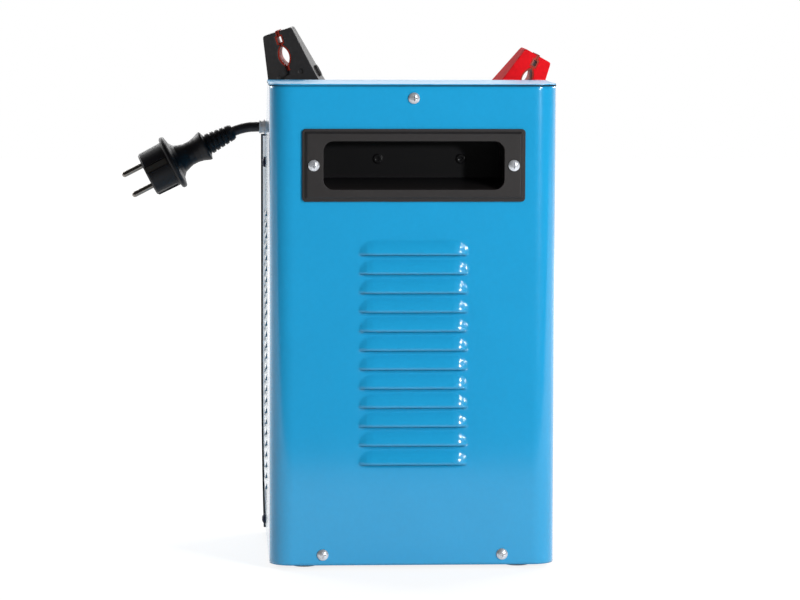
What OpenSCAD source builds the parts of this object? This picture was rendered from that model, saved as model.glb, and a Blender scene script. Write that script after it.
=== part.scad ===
// Battery charger with jump starter: a tall sheet-metal cabinet with a recessed grip and louvres at the
// back, an open cable bin behind the flat top, and a control fascia in front. Millimetres, +Z up.
// The back wall faces -Y. X = 0 is the cabinet's middle, Z = 0 is the floor under the rubber feet.

/* [Cabinet] */
// Width of the cabinet over the side walls
body_w = 226; // [214:1:240]
// Depth of the cabinet from the back wall to the fascia's front
body_d = 200; // [192:1:220]
// Height of the cabinet without its feet
body_h = 380; // [372:1:400]
// Thickness of the sheet steel
sheet_t = 1.2; // [0.8:0.1:1.6]
// Radius of the upright rear corners
corner_r = 18; // [12:1:24]
// Depth of the flat top cover, from the back wall to the bin
cover_d = 109; // [104:1:112]
// Depth of the flanges folded down from the top cover
cover_flange = 20; // [16:1:24]
// Seam between the top cover and the walls
cover_seam = 0.5; // [0.2:0.1:0.8]
// Height of the flanges folded up from the base pan
pan_flange = 18; // [15:1:24]
// Height of the rubber feet under the base pan
foot_h = 4; // [3:0.5:8]
// Radius of a rubber foot
foot_r = 11; // [8:1:14]

/* [Back wall louvres] */
// Number of louvres in the back wall
louvre_n = 12; // [4:1:12]
// Distance from one louvre to the next
louvre_pitch = 15.1; // [14:0.1:15.2]
// Length of a louvre
louvre_len = 86; // [60:1:110]
// Height of the lowest slit above the cabinet's lower edge
louvre_z = 80; // [70:1:84]
// How far a louvre stands out
louvre_out = 3.4; // [2.5:0.1:4]
// Radius of the tool that presses a louvre
louvre_tool_r = 20; // [16:1:24]

/* [Side louvres] */
// Number of fine louvres in each side wall
side_louvre_n = 26; // [8:1:26]
// Distance from one fine louvre to the next
side_louvre_pitch = 9; // [8:0.1:9.2]
// Length of a fine louvre
side_louvre_len = 60; // [40:1:70]
// How far a fine louvre stands out
side_louvre_out = 1.3; // [1:0.1:2.2]

/* [Grip] */
// Width of the grip's bezel
grip_w = 175; // [165:1:185]
// Height of the grip's bezel
grip_h = 57; // [54:1:62]
// Width of the grip's mouth
grip_mouth_w = 142; // [130:1:146]
// Height of the grip's mouth
grip_mouth_h = 38; // [34:1:40]
// Depth of the grip behind the back wall
grip_depth = 42; // [30:1:50]
// Wall of the moulded grip
grip_wall = 2.5; // [2:0.1:3]
// How far the bezel stands out
grip_out = 3.5; // [2.5:0.1:4.5]
// Height of the grip's middle above the cabinet's lower edge
grip_z = 316.5; // [312:0.5:322]

/* [Cable bin] */
// Height of the fascia and of the bin's front edge above the cabinet's lower edge
front_h = 332; // [328:1:338]
// Height of the bin's floor above the cabinet's lower edge
bin_z = 221.5; // [215:0.5:221.5]
// Wall of the moulded bin
bin_wall = 2; // [1.5:0.1:2]

/* [Fascia] */
// Thickness of the fascia's plate
fascia_t = 3; // [2.5:0.1:4]
// How far the fascia stands out past the side walls in its upper half
fascia_bow = 3.5; // [1.6:0.1:4.5]
// Width of the meter
meter_w = 76; // [66:1:84]
// Height of the meter
meter_h = 62; // [54:1:64]
// Diameter of the selector knob
knob_d = 42; // [34:1:46]
// How far the selector knob stands out from the fascia
knob_out = 21.5; // [18:0.5:24]
// Width of a rocker switch
rocker_w = 22; // [18:1:24]
// Height of a rocker switch
rocker_h = 30; // [26:1:32]
// Radius of the breaker's button
button_r = 4.5; // [3.5:0.1:5.5]

/* [Screws] */
// Radius of a case screw's head
head_r = 4.4; // [4:0.1:5]
// Height of a case screw's head
head_h = 3; // [2.2:0.1:3.4]
// Radius of a case screw's shank
shank_r = 2; // [1.5:0.1:2.2]

/* [Clamps] */
// Length of the jaws above the pin
jaw_len = 45; // [40:1:48]
// Length of the handles below the pin
handle_len = 80; // [76:1:81]
// Half of the clamp's width at the tips
tip_half = 13; // [12:0.5:14]
// Width of the outer half across its cheeks
clamp_w = 25; // [24:0.5:27]
// Thickness of the moulded cheeks and backs
clamp_wall = 2.5; // [2:0.1:2.6]
// Radius of the clamp's pin
clamp_pin_r = 2.5; // [2:0.1:3]

/* [Cords] */
// Diameter of the mains cord
mains_d = 8.4; // [8:0.1:8.6]
// Diameter of a charging lead
lead_d = 8; // [7.6:0.1:8]

/* [Hidden] */
$fn = 48;
eps = 0.01;

// Clearances
fit = 0.3;        // between sheets and mouldings that lie beside each other
bore_fit = 0.05;  // round a pin or shaft that turns
hole_fit = 0.2;   // round a screw's shank

// Cabinet faces; the front-to-back middle lies between the grip screws and the knob
half_w = body_w / 2;
total_d = grip_out + head_h + body_d + knob_out;
back_y = -total_d / 2 + grip_out + head_h;
front_y = back_y + body_d;
floor_z = foot_h;
top_z = floor_z + body_h;
wall_top = top_z - sheet_t - cover_seam;
inner_half = half_w - sheet_t;
plate_back = front_y - fascia_t;
side_end = plate_back - fit;
field_y = front_y - 0.8;
pan_top = floor_z + sheet_t;
cover_y = back_y + cover_d;
fascia_top = floor_z + front_h;
bin_floor = floor_z + bin_z;
bin_back = cover_y + fit;
bin_half = inner_half - fit;
edge_drop_y = cover_y + 27;   // where the side walls' steep edge ends
edge_drop_z = fascia_top + 18;
side_louvre_low = 43;
side_louvre_y = side_end - 12 - side_louvre_len / 2;
foot_edge = 28;
foot_stem_r = 3;
grip_mouth_r = 8;
grip_rise = 7;
grip_bevel = 2.5;
grip_rim_t = 1.6;   // lower outer rim of the bezel
grip_step = 2.1;    // how far the raised field is set in from the rim's edge
grip_mark_x = 33;
grip_mark_mid = 6.5;
grip_mark_z = 2.9;
steel = "lightsteelblue";

// Screw places
hole_reach = 10;
top_screw_z = wall_top - 9.3;
pan_screw_z = floor_z + 8.5;
pan_screw_x = 71;
grip_screw_x = grip_mouth_w / 4 + grip_w / 4 - 0.8;
fascia_screw_y = side_end - 7;
fascia_screw_zs = [floor_z + 8.5, fascia_top - 23];

// Fascia parts, as [x, z] places
meter_at = [0, floor_z + 172];
knob_at = [-52, floor_z + 92];
power_at = [62, floor_z + 92];
mode_at = [22, floor_z + 92];
breaker_at = [42, floor_z + 54];
lamp_x = 64;
lamp_r = 5;
fascia_flange_t = 1.5;
fascia_lap = 1.4;   // how far the fascia stands out at its lower edge
meter_hole_r = 26;
meter_out = 6;
meter_wall = 3;
meter_depth = 35;
meter_pivot_drop = 18;
needle_len = 38;
needle_rest = -40;
selector_r = 5;
knob_stem_r = 3;
breaker_r = 8;
switch_wall = 1.5;
rocker_pin_r = 1.5;
rocker_tip = 9;
rocker_y = field_y - 1;

// Parts on the base pan
transformer_y = -24;
core_w = 100;
core_d = 60;
core_h = 84;
core_window_w = 17;
winding_t = 14;
plate_gap = 18;
rect_w = 100;
rect_h = 145;
rect_foot = 12;
diode_r = 6.5;
block_at = [-32, 48];

// Clamps, as [x, y, z] of the pin and lean from upright
clamp_y = 45;
clamp_ear_r = 9;
bite_half = 10;
bite_depth = 5.4;
bite_mid = 24.5;
bite_low = 12;
notch_low = 34.4;
notch_h = 7.4;
notch_depth = 3.2;
jaw_t = 1.2;
jaw_taper_z = 10;
black_pin_at = [-88.8, clamp_y, 379.7];
black_lean = -18.4;
black_yaw = -11;
red_pin_at = [88, clamp_y, 364];
red_lean = 28.9;
red_yaw = 11;
jaw_gap = 0.3;
inner_clamp_w = clamp_w - 2 * clamp_wall - 2 * 0.4;
lever_tip_w = 14;
body_tip_w = 12.4;
clamp_flare = 8;
loop_out = 2.2;
dimple_at = [9.5, 8.5];
crimp_len = 14;
crimp_wall = 1.1;
red_lead_v = 16;
black_lead_v = 14;

// Cord storage: each hank is an oval ring of two turns beside each other and two above
hank_y = 45;
hank_half = 50;
lead_turn_r = 24.5;
mains_turn_r = 25.4;
tie_t = 0.8;
tie_w = 6;
tie_x = 20;

// Cord routes, from the gland to the hank and from the hank to the far end
gland_x = 96;
gland_r = 9;
gland_thread_r = 8;
bushing_at = [77, 342.5];
bushing_wall = 0.7;
bushing_out = 5.2;
bushing_in = 5;
mains_gland_z = 268;
red_gland_z = 236;
black_gland_z = 252;
MAINS_TAIL = [
    [96, 4, 268], [96, 20, 268], [96, 36, 268], [95, 50, 267.5], [91.3, 62, 266.8],
    [79, 74.3, 265.6], [62, 78.8, 265.3], [48, 78.8, 265.3]
];
MAINS_RUN = [
    [45, 78.8, 273.7], [25, 78.8, 277], [5, 78.6, 285.8], [-15, 78.4, 297.9], [-35, 78.1, 311.4],
    [-55, 77.8, 324.5], [-75, 77.4, 334.9], [-90, 77, 340], [-104, 77, 342.5], [-121, 77, 342.5],
    [-128, 77, 342], [-135, 77, 340.4], [-141.5, 77, 337.8], [-148.6, 77, 334.1]
];
RED_TAIL = [
    [96, 4, 236], [96, 18, 236], [96, 32, 235], [95, 47, 233], [91, 62, 231.3],
    [79.8, 73, 230.5], [63.5, 77.5, 230.3], [48, 77.5, 230.3]
];
RED_RUN = [
    [-20, 20.5, 230.3], [0, 22.5, 231], [18, 29, 235], [33, 37, 243], [45, 42.5, 254],
    [53, 45, 266], [58.6, 46.4, 277.5], [63.1, 47.5, 286.5], [67.6, 48, 294.5], [71.7, 48.05, 302],
    [74.5, 48.05, 307]
];
BLACK_TAIL = [
    [-96, 4, 252], [-96, 18, 252], [-96, 32, 251.3], [-95, 47, 250], [-91, 62, 248.7],
    [-79.8, 73, 247.9], [-63.5, 77.5, 247.7], [-48, 77.5, 247.7]
];
BLACK_RUN = [
    [20, 20.5, 247.7], [0, 22, 248.3], [-18, 28, 252], [-34, 36, 258.5], [-48, 42, 265.5],
    [-59, 44.6, 273.5], [-66.5, 46.2, 282.5], [-72, 47.2, 291.5], [-76.9, 47.6, 301],
    [-81.25, 47.67, 313.5], [-84.4, 47.67, 323]
];
red_hank_z = RED_TAIL[7][2] - lead_d / 2;
black_hank_z = BLACK_TAIL[7][2] - lead_d / 2;
mains_hank_z = MAINS_TAIL[7][2] - mains_d / 2;

// Plug, along its own axis from the end of its boot
plug_turn = -117.2;
plug_roll = 15;
plug_at = [-141.5, 77, 337.8];
boot_len = 22.5;
flange_at = 52;
flange_r = 23;
plug_r = 19;
plug_len = 78;
boot_end_r = 6.7;
boot_root_r = 9;
groove_w = 1.5;
groove_depth = 1;
collar_r = 12.6;
waist_r = 9.7;
waist_z = 38;
contact_w = 5;
guide_w = 11.7;
pin_seat = 0.02;
pin_len = 19;
pin_r = 2.4;
pin_half = 9.5;

// Oval of two half circles and a straight, middle at the origin
module oval(half, r) {
    translate([-half, 0]) circle(r);
    translate([half, 0]) circle(r);
    translate([-half, -r]) square([2 * half, 2 * r]);
}

// Rectangle with round corners, middle at the origin
module round_rect(w, h, r) {
    square([w - 2 * r, h], center = true);
    square([w, h - 2 * r], center = true);
    for (x = [-1, 1], y = [-1, 1]) translate([x * (w / 2 - r), y * (h / 2 - r)]) circle(r);
}

// Cabinet outline in plan with round rear corners, moved in by inset and ending at front
module cabinet_plan(inset, front) {
    r = corner_r - inset;
    w = half_w - inset;
    y0 = back_y + inset;
    translate([-w + r, y0]) square([2 * (w - r), front - y0]);
    translate([-w, y0 + r]) square([2 * w, front - y0 - r]);
    for (x = [-1, 1]) translate([x * (w - r), y0 + r]) circle(r);
}

// Pan-head screw with a cross recess; its head stands on z = 0 and its shank hangs below
module pan_screw(shank) {
    dome = head_r + 1.6;
    difference() {
        intersection() {
            cylinder(r = head_r, h = head_h);
            translate([0, 0, head_h - dome]) sphere(dome);
        }
        for (turn = [0, 90]) rotate(turn) translate([-2.3, -0.45, head_h - 1.3]) cube([4.6, 0.9, 2]);
    }
    translate([0, 0, -shank]) cylinder(r = shank_r, h = shank + eps);
}

// Press tool of a louvre: a bar along X, of radius r, whose ends round off in short cones
module louvre_tool(r) {
    run = louvre_len / 2 - sqrt(louvre_tool_r * louvre_tool_r - pow(louvre_tool_r - louvre_out, 2));
    turns = [0, 14, 26, 38, 50];
    end = [for (t = turns) [r * cos(t), run + r * sin(t)]];
    rotate([0, 90, 0]) rotate_extrude() polygon(concat(
        [[0, -end[4][1]]], [for (i = [4 : -1 : 0]) [end[i][0], -end[i][1]]], end, [[0, end[4][1]]]
    ));
}

// Upper part of a press tool, from the slit at z = low, with the outer sheet face on y = 0
module louvre_half(r, low, y1) {
    intersection() {
        translate([0, louvre_tool_r - louvre_out, 0]) louvre_tool(r);
        translate([-louvre_len, -louvre_tool_r, low]) cube([2 * louvre_len, louvre_tool_r + y1, louvre_tool_r]);
    }
}

// Side wall's cut in the Y-Z plane: everything above its falling top edge
module side_edge_cut() {
    rotate([90, 0, 90]) translate([0, 0, -half_w - 10]) linear_extrude(2 * half_w + 20) polygon([
        [cover_y, top_z + 1], [cover_y, wall_top], [edge_drop_y, edge_drop_z],
        [front_y + 1, fascia_top], [front_y + 1, top_z + 1]
    ]);
}

// Height of fine louvre i
function side_louvre_z(i) = floor_z + side_louvre_low + i * side_louvre_pitch;

// Places for the fine louvres in both side walls, with X pointing out of the wall from its outer face
module side_louvre_places() {
    for (s = [0, 1], i = [0 : side_louvre_n - 1])
        mirror([s, 0, 0]) translate([half_w, side_louvre_y, side_louvre_z(i)]) children();
}

// Prism along Y with its middle at y = 0 and the given outline in the X-Z plane
module side_prism(len, outline) {
    translate([0, len / 2, 0]) rotate([90, 0, 0]) linear_extrude(len) polygon(outline);
}

// Outside of one fine louvre: a wedge that is open at its lower edge
module side_louvre() {
    side_prism(side_louvre_len, [[-sheet_t / 2, 0], [side_louvre_out, 0], [side_louvre_out, 0.6], [0, 5], [-sheet_t / 2, 5]]);
}

// Air inside one fine louvre, from the slit through the wall
module side_louvre_air() {
    x = side_louvre_out - 0.7;
    side_prism(side_louvre_len - 1.6, [[-sheet_t - 1, -eps], [x, -eps], [x, 0.4], [0, 3.4], [-sheet_t - 1, 4.2]]);
}

// Hole for the cord bushing through the left wall
module bushing_notch() {
    translate([-half_w - 5, bushing_at[0], bushing_at[1]]) rotate([0, 90, 0])
        cylinder(r = mains_d / 2 + bushing_wall + fit, h = 20);
}

// Places on the back wall, with -Z pointing into the cabinet
module on_back(places) {
    for (p = places) translate([p[0], back_y, p[1]]) rotate([90, 0, 0]) children();
}

module case_screw_places() {
    on_back([[0, top_screw_z], [-pan_screw_x, pan_screw_z], [pan_screw_x, pan_screw_z]]) children();
}

module grip_screw_places() {
    on_back([[-grip_screw_x, floor_z + grip_z], [grip_screw_x, floor_z + grip_z]]) children();
}

module fascia_screw_places() {
    for (s = [-1, 1], z = fascia_screw_zs)
        translate([s * half_w, fascia_screw_y, z]) rotate([0, s * 90, 0]) children();
}

module screw_hole() {
    cylinder(r = shank_r + hole_fit, h = 2 * hole_reach, center = true);
}

module louvre_places() {
    for (i = [0 : louvre_n - 1]) translate([0, back_y, floor_z + louvre_z + i * louvre_pitch]) children();
}

module cabinet_wrap() {
    color("deepskyblue") difference() {
        union() {
            translate([0, 0, floor_z]) linear_extrude(wall_top - floor_z) difference() {
                cabinet_plan(0, side_end);
                cabinet_plan(sheet_t, side_end + 1);
            }
            louvre_places() louvre_half(louvre_tool_r, 0, sheet_t / 2);
            side_louvre_places() side_louvre();
        }
        louvre_places() louvre_half(louvre_tool_r - sheet_t, -eps, 2 * sheet_t);
        side_louvre_places() side_louvre_air();
        side_edge_cut();
        bushing_notch();
        grip_hole(fit);
        case_screw_places() screw_hole();
        fascia_screw_places() screw_hole();
        grip_screw_places() screw_hole();
    }
}

module grip_hole(gap) {
    translate([0, back_y + hole_reach, floor_z + grip_z]) rotate([90, 0, 0]) linear_extrude(2 * hole_reach)
        round_rect(grip_mouth_w + 2 * grip_wall + 2 * gap, grip_mouth_h + 2 * grip_wall + 2 * gap, grip_mouth_r + grip_wall);
}

module top_cover() {
    inset = sheet_t + fit;
    color("deepskyblue") difference() {
        union() {
            translate([0, 0, top_z - sheet_t]) linear_extrude(sheet_t) cabinet_plan(0, cover_y);
            translate([0, 0, top_z - cover_flange]) linear_extrude(cover_flange - eps) difference() {
                cabinet_plan(inset, cover_y);
                cabinet_plan(inset + sheet_t, cover_y - sheet_t);
            }
        }
        case_screw_places() screw_hole();
    }
}

module base_pan() {
    inset = sheet_t + fit;
    color("silver") difference() {
        translate([0, 0, floor_z]) linear_extrude(pan_flange) cabinet_plan(inset, side_end);
        translate([0, 0, floor_z + sheet_t]) linear_extrude(pan_flange) cabinet_plan(inset + sheet_t, side_end + 1);
        case_screw_places() screw_hole();
        fascia_screw_places() screw_hole();
        foot_places() cylinder(r = foot_stem_r + hole_fit, h = 2 * pan_flange);
        core_bolt_places() screw_hole();
        rect_bolt_places() screw_hole();
        for (x = [-3 : 3]) translate([x * 26 - 6, transformer_y + core_d / 2 + 30, 0]) cube([12, 5, 2 * floor_z]);
    }
}

module foot_places() {
    for (x = [-1, 1], y = [back_y + foot_edge, front_y - foot_edge]) translate([x * (half_w - foot_edge), y, 0]) children();
}

module rubber_feet() {
    seat = foot_h + sheet_t + hole_fit;
    color("dimgray") foot_places() rotate_extrude() polygon([
        [0, 0], [foot_r - 1.5, 0], [foot_r, foot_h], [foot_stem_r, foot_h], [foot_stem_r, seat],
        [foot_stem_r + 1.4, seat], [1.5, seat + 7], [0, seat + 7]
    ]);
}

// Fascia outline in the X-Z plane; its sides stand out from the walls and draw in towards the floor
module fascia_outline() {
    draw_n = 7;
    side = concat(
        [for (i = [0 : draw_n - 1]) let (k = i / (draw_n - 1))
            [half_w + fascia_lap + (fascia_bow - fascia_lap) * (1 - pow(1 - k, 2)), floor_z + 0.45 * k * front_h]],
        [[half_w + fascia_bow, fascia_top]]
    );
    polygon(concat(side, [for (i = [draw_n : -1 : 0]) [-side[i][0], side[i][1]]]));
}

// Extrude an outline in the X-Z plane from y0 to y1
module along_y(y0, y1) {
    translate([0, y1, 0]) rotate([90, 0, 0]) linear_extrude(y1 - y0) children();
}

module front_fascia() {
    flange_x = inner_half - 2 * fit - sheet_t;
    flange_z = floor_z + 3;
    color("#26282b") difference() {
        union() {
            along_y(plate_back, front_y) fascia_outline();
            for (s = [-1, 1]) translate([s * (flange_x - fascia_flange_t / 2) - fascia_flange_t / 2, plate_back - 14, flange_z])
                cube([fascia_flange_t, 14 + eps, bin_floor - bin_wall - 2 - flange_z]);
            translate([-half_w + 18, plate_back - 6, pan_top + fit]) cube([body_w - 36, 6 + eps, 1.6]);
        }
        along_y(front_y - 0.8, front_y + 1) translate([0, floor_z + 114]) round_rect(body_w - 24, 200, 6);
        fascia_screw_places() screw_hole();
        along_y(0, front_y + 1) {
            translate(meter_at) circle(r = meter_hole_r);
            translate(knob_at) circle(r = selector_r + bore_fit + 0.15);
            for (at = [power_at, mode_at]) translate(at) square([rocker_w + 2 * fit, rocker_h + 2 * fit], center = true);
            translate(breaker_at) circle(r = breaker_r + hole_fit);
            for (s = [-1, 1]) translate([s * lamp_x, meter_at[1]]) circle(r = lamp_r + hole_fit);
            for (x = [-3 : 3]) translate([-40 + x * 12, floor_z + 34]) round_rect(5, 30, 2.4);
        }
    }
}

// Moulded bin: a tub with a falling rim, set between the side walls
module bin_block(inset, floor_lift) {
    y0 = bin_back + inset;
    y1 = plate_back - fit - inset;
    translate([-bin_half + inset, y0, bin_floor - bin_wall + floor_lift])
        cube([2 * (bin_half - inset), y1 - y0, top_z - bin_floor]);
}

module cable_bin() {
    color("#303236") difference() {
        bin_block(0, 0);
        bin_block(bin_wall, bin_wall);
        translate([0, 0, -1]) side_edge_cut();
        translate([-half_w, 0, wall_top - 3]) cube([body_w, front_y, 20]);
        bushing_notch();
        fascia_screw_places() screw_hole();
        for (p = [[gland_x, mains_gland_z], [gland_x, red_gland_z], [-gland_x, black_gland_z]])
            translate([p[0], bin_back - 5, p[1]]) rotate([-90, 0, 0]) cylinder(r = gland_thread_r + hole_fit, h = 12);
    }
}

// Moulded grip: a bevelled bezel and a pocket whose floor rises towards its back
module grip_pocket() {
    half = grip_mouth_h / 2;
    intersection() {
        along_y(back_y - grip_out - 1, back_y + grip_depth) round_rect(grip_mouth_w, grip_mouth_h, grip_mouth_r);
        rotate([90, 0, 90]) translate([0, 0, -grip_w / 2]) linear_extrude(grip_w) polygon([
            [back_y - grip_out - 2, -half - 1], [back_y, -half - 1], [back_y, -half], [back_y + grip_depth + 1, grip_rise - half],
            [back_y + grip_depth + 1, half + 1], [back_y - grip_out - 2, half + 1]
        ]);
    }
}

module grip_cup() {
    color("#2b2b2b") translate([0, 0, floor_z + grip_z]) difference() {
        union() {
            along_y(back_y - grip_rim_t, back_y) round_rect(grip_w, grip_h, 3);
            along_y(back_y - grip_out, back_y - grip_rim_t + eps)
                round_rect(grip_w - 2 * grip_step, grip_h - 2 * grip_step, 2);
            along_y(back_y - eps, back_y + grip_depth + grip_wall)
                round_rect(grip_mouth_w + 2 * grip_wall, grip_mouth_h + 2 * grip_wall, grip_mouth_r + grip_wall);
        }
        grip_pocket();
        for (s = [-1, 1]) {
            translate([s * (grip_w / 2 - grip_step), back_y - grip_out, 0]) rotate([0, 0, 45])
                cube([grip_bevel, grip_bevel, grip_h + 2], center = true);
            translate([0, back_y - grip_out, s * (grip_h / 2 - grip_step)]) rotate([45, 0, 0])
                cube([grip_w + 2, grip_bevel, grip_bevel], center = true);
            translate([s * grip_screw_x, back_y, 0]) rotate([90, 0, 0]) screw_hole();
        }
    }
    color("#2b2b2b") for (s = [-1, 1])
        translate([grip_mark_mid + s * grip_mark_x, back_y + grip_depth + 0.5, floor_z + grip_z + grip_mark_z])
            rotate([90, 0, 0]) difference() {
                cylinder(r1 = 4, r2 = 3.2, h = 1.7);
                translate([0, 0, 0.9]) cylinder(r = 1.5, h = 2);
            }
}

module grip_screws() {
    color(steel) grip_screw_places() translate([0, 0, grip_out]) pan_screw(10);
}

module case_screws() {
    color(steel) case_screw_places() pan_screw(9);
}

module fascia_screws() {
    color("midnightblue") fascia_screw_places() pan_screw(6);
}

// Flanged bushing that holds the mains cord in the left wall's notch; +Z of its outline points outwards
module cord_bushing() {
    bore = mains_d / 2 + bore_fit;
    neck = mains_d / 2 + bushing_wall;
    inside = -sheet_t - fit - bin_wall;
    color("gainsboro") translate([-half_w, bushing_at[0], bushing_at[1]]) rotate([0, -90, 0]) rotate_extrude() polygon([
        [bore, -bushing_in], [neck + 1.4, -bushing_in], [neck + 1.4, inside], [neck, inside],
        [neck, 0], [neck + 1.1, 0], [neck + 1.1, 1.4], [neck, 1.4], [neck, bushing_out - 2],
        [neck + 0.4, bushing_out - 1.8], [neck + 0.4, bushing_out], [bore, bushing_out]
    ]);
}

// Cable gland in the bin's back wall: dome and nut inside the bin, thread and lock nut behind it
module gland(x, z, cord_r, relief) {
    bore = cord_r + bore_fit;
    wall_y = bin_back + bin_wall;
    translate([x, wall_y, z]) rotate([-90, 0, 0]) {
        rotate_extrude() polygon(concat(
            [[bore, -bin_wall - 9], [gland_thread_r, -bin_wall - 9], [gland_thread_r, 0], [gland_r, 0],
             [gland_r, 6], [gland_r - 2.5, 11]],
            relief > 0 ? [[bore + 1.8, 11], [bore + 0.8, 11 + relief]] : [],
            [[bore, 11 + relief]]
        ));
        difference() {
            translate([0, 0, -bin_wall - 5]) cylinder(r = gland_r + 1, h = 5 - eps, $fn = 6);
            translate([0, 0, -bin_wall - 6]) cylinder(r = gland_thread_r - 0.5, h = 8);
        }
    }
}

module mains_gland() { color("#1f1f1f") gland(gland_x, mains_gland_z, mains_d / 2, 20); }
module red_gland() { color("#1f1f1f") gland(gland_x, red_gland_z, lead_d / 2, 0); }
module black_gland() { color("#1f1f1f") gland(-gland_x, black_gland_z, lead_d / 2, 0); }

// Round tube swept along a route, with one ring of points at each route point
function unit(v) = v / norm(v);
function along(route, i) = unit(route[min(i + 1, len(route) - 1)] - route[max(i - 1, 0)]);
function ring_points(route, i, r, sides, side) =
    let (t = along(route, i), n = unit(cross(side, t)), b = cross(t, n))
    [for (k = [0 : sides - 1]) route[i] + r * (cos(360 * k / sides) * n + sin(360 * k / sides) * b)];

module tube(route, d, side, sides = 10) {
    last = len(route) - 1;
    points = [for (i = [0 : last]) each ring_points(route, i, d / 2, sides, side)];
    polyhedron(points, concat(
        [[for (k = [0 : sides - 1]) k]],
        [for (i = [0 : last - 1], k = [0 : sides - 1]) let (a = i * sides, n = (k + 1) % sides)
            [a + k, a + sides + k, a + sides + n, a + n]],
        [[for (k = [sides - 1 : -1 : 0]) last * sides + k]]
    ));
}

// Oval ring of cord, two turns wide and two turns high
module hank(z, turn_r, d) {
    translate([0, hank_y, z]) linear_extrude(2 * d) difference() {
        oval(hank_half, turn_r + 1.5 * d);
        oval(hank_half, turn_r - d / 2);
    }
}

module mains_tail() { color("#222222") tube(MAINS_TAIL, mains_d, [0, 0, 1]); }
module mains_hank() { color("#222222") hank(mains_hank_z, mains_turn_r, mains_d); }
module mains_run() { color("#222222") tube(MAINS_RUN, mains_d, [0, 1, 0]); }
module red_tail() { color("firebrick") tube(RED_TAIL, lead_d, [0, 0, 1]); }
module red_hank() { color("firebrick") hank(red_hank_z, lead_turn_r, lead_d); }
module red_run() { color("firebrick") tube(RED_RUN, lead_d, [0, 1, 0]); }
module black_tail() { color("#222222") tube(BLACK_TAIL, lead_d, [0, 0, 1]); }
module black_hank() { color("#222222") hank(black_hank_z, lead_turn_r, lead_d); }
module black_run() { color("#222222") tube(BLACK_RUN, lead_d, [0, 1, 0]); }

// Flat tie round one run of a hank
module cord_tie(y, z, d) {
    gap = 0.2;
    translate([tie_x, y, z + d]) difference() {
        cube([tie_w, 2 * d + 2 * (gap + tie_t), 2 * d + 2 * (gap / 2 + tie_t / 2)], center = true);
        cube([tie_w + 1, 2 * d + 2 * gap, 2 * d + gap], center = true);
    }
}

module cord_ties() {
    color("#3a3a3a") {
        cord_tie(hank_y + lead_turn_r + lead_d / 2, red_hank_z, lead_d);
        cord_tie(hank_y + lead_turn_r + lead_d / 2, black_hank_z, lead_d);
        cord_tie(hank_y - mains_turn_r - mains_d / 2, mains_hank_z, mains_d);
    }
}

// Earthed mains plug with a ribbed boot; local +Z runs from the boot to the pins
module plug_frame() {
    translate(plug_at) rotate([0, plug_turn, 0]) rotate([0, 0, plug_roll]) children();
}

// Radius of the boot at height z, and one groove round it
function boot_r(z) = boot_end_r + (boot_root_r - boot_end_r) * z / boot_len;
function boot_groove(z) = [
    [boot_r(z), z], [boot_r(z) - groove_depth, z + 0.3],
    [boot_r(z) - groove_depth, z + groove_w - 0.3], [boot_r(z + groove_w), z + groove_w]
];

module plug_body() {
    groove_n = 5;
    color("#262626") plug_frame() difference() {
        rotate_extrude() polygon(concat(
            [[0, -2], [5.6, -2], [boot_end_r, 0]],
            [for (i = [0 : groove_n - 1]) each boot_groove(3.4 + i * boot_len / 5.2)],
            [
                [boot_root_r, boot_len], [collar_r, boot_len + 1.2], [collar_r, boot_len + 2.8],
                [waist_r + 0.9, boot_len + 8], [waist_r, waist_z - 3], [waist_r, waist_z + 2],
                [waist_r + 0.8, waist_z + 5],
                [waist_r + 2.6, flange_at - 4], [waist_r + 6, flange_at - 1.2], [flange_r - 3.2, flange_at - 0.2],
                [flange_r - 1, flange_at + 0.3], [flange_r, flange_at + 1.2], [flange_r, flange_at + 3.5],
                [flange_r - 1, flange_at + 4.5], [plug_r + 0.4, flange_at + 5], [plug_r, plug_len - 1.5],
                [plug_r - 1.5, plug_len], [0, plug_len]
            ]
        ));
        translate([0, 0, -3]) cylinder(r = mains_d / 2 + bore_fit, h = 14);
        for (s = [-1, 1]) {
            translate([s * pin_half, 0, plug_len - 8]) cylinder(r = pin_r + pin_seat, h = 9);
            translate([0, s * (plug_r + 0.2), plug_len]) cube([contact_w + 1.2, 5, 40], center = true);
            translate([s * (plug_r + 0.5), 0, plug_len]) cube([4.4, guide_w, 38], center = true);
        }
    }
}

module plug_pins() {
    color("gainsboro") plug_frame() for (s = [-1, 1]) translate([s * pin_half, 0, plug_len - 8]) {
        cylinder(r = pin_r, h = 8 + pin_len - pin_r);
        translate([0, 0, 8 + pin_len - pin_r]) sphere(pin_r);
    }
}

module plug_earth_contacts() {
    color("silver") plug_frame() for (s = [-1, 1])
        translate([0, s * (plug_r - 1.8), plug_len - 10.2]) cube([contact_w, 1, 19], center = true);
}

// Clamp half in its own plane: X is the distance from the middle line, Y runs up the jaws
module clamp_outline() {
    t = tip_half;
    polygon([
        [jaw_gap, jaw_len], [t - 2, jaw_len], [t - 0.6, jaw_len - 0.6], [t, jaw_len - 2.4],
        [t + clamp_flare, 0], [t + 11.6, -14], [t + 13.6, -26], [t + 14.5, 22 - handle_len],
        [t + 13, 3 - handle_len], [t + 11, -handle_len], [12, -handle_len],
        [10, 34 - handle_len], [5, -16], [jaw_gap, -7]
    ]);
}

// What a jaw leaves free: round bite, square notch near the tip and the strip's own seat, moved in by lip
module clamp_bite(lip) {
    r = (bite_half * bite_half + bite_depth * bite_depth) / (2 * bite_depth);
    translate([bite_depth - r, bite_mid]) circle(r - lip);
    translate([-5, notch_low + lip]) square([5 + notch_depth - lip, notch_h - 2 * lip]);
    translate([-5, bite_low + lip]) square([5 + jaw_gap + jaw_t + bore_fit - lip, jaw_len + 2 - bite_low]);
}

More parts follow.
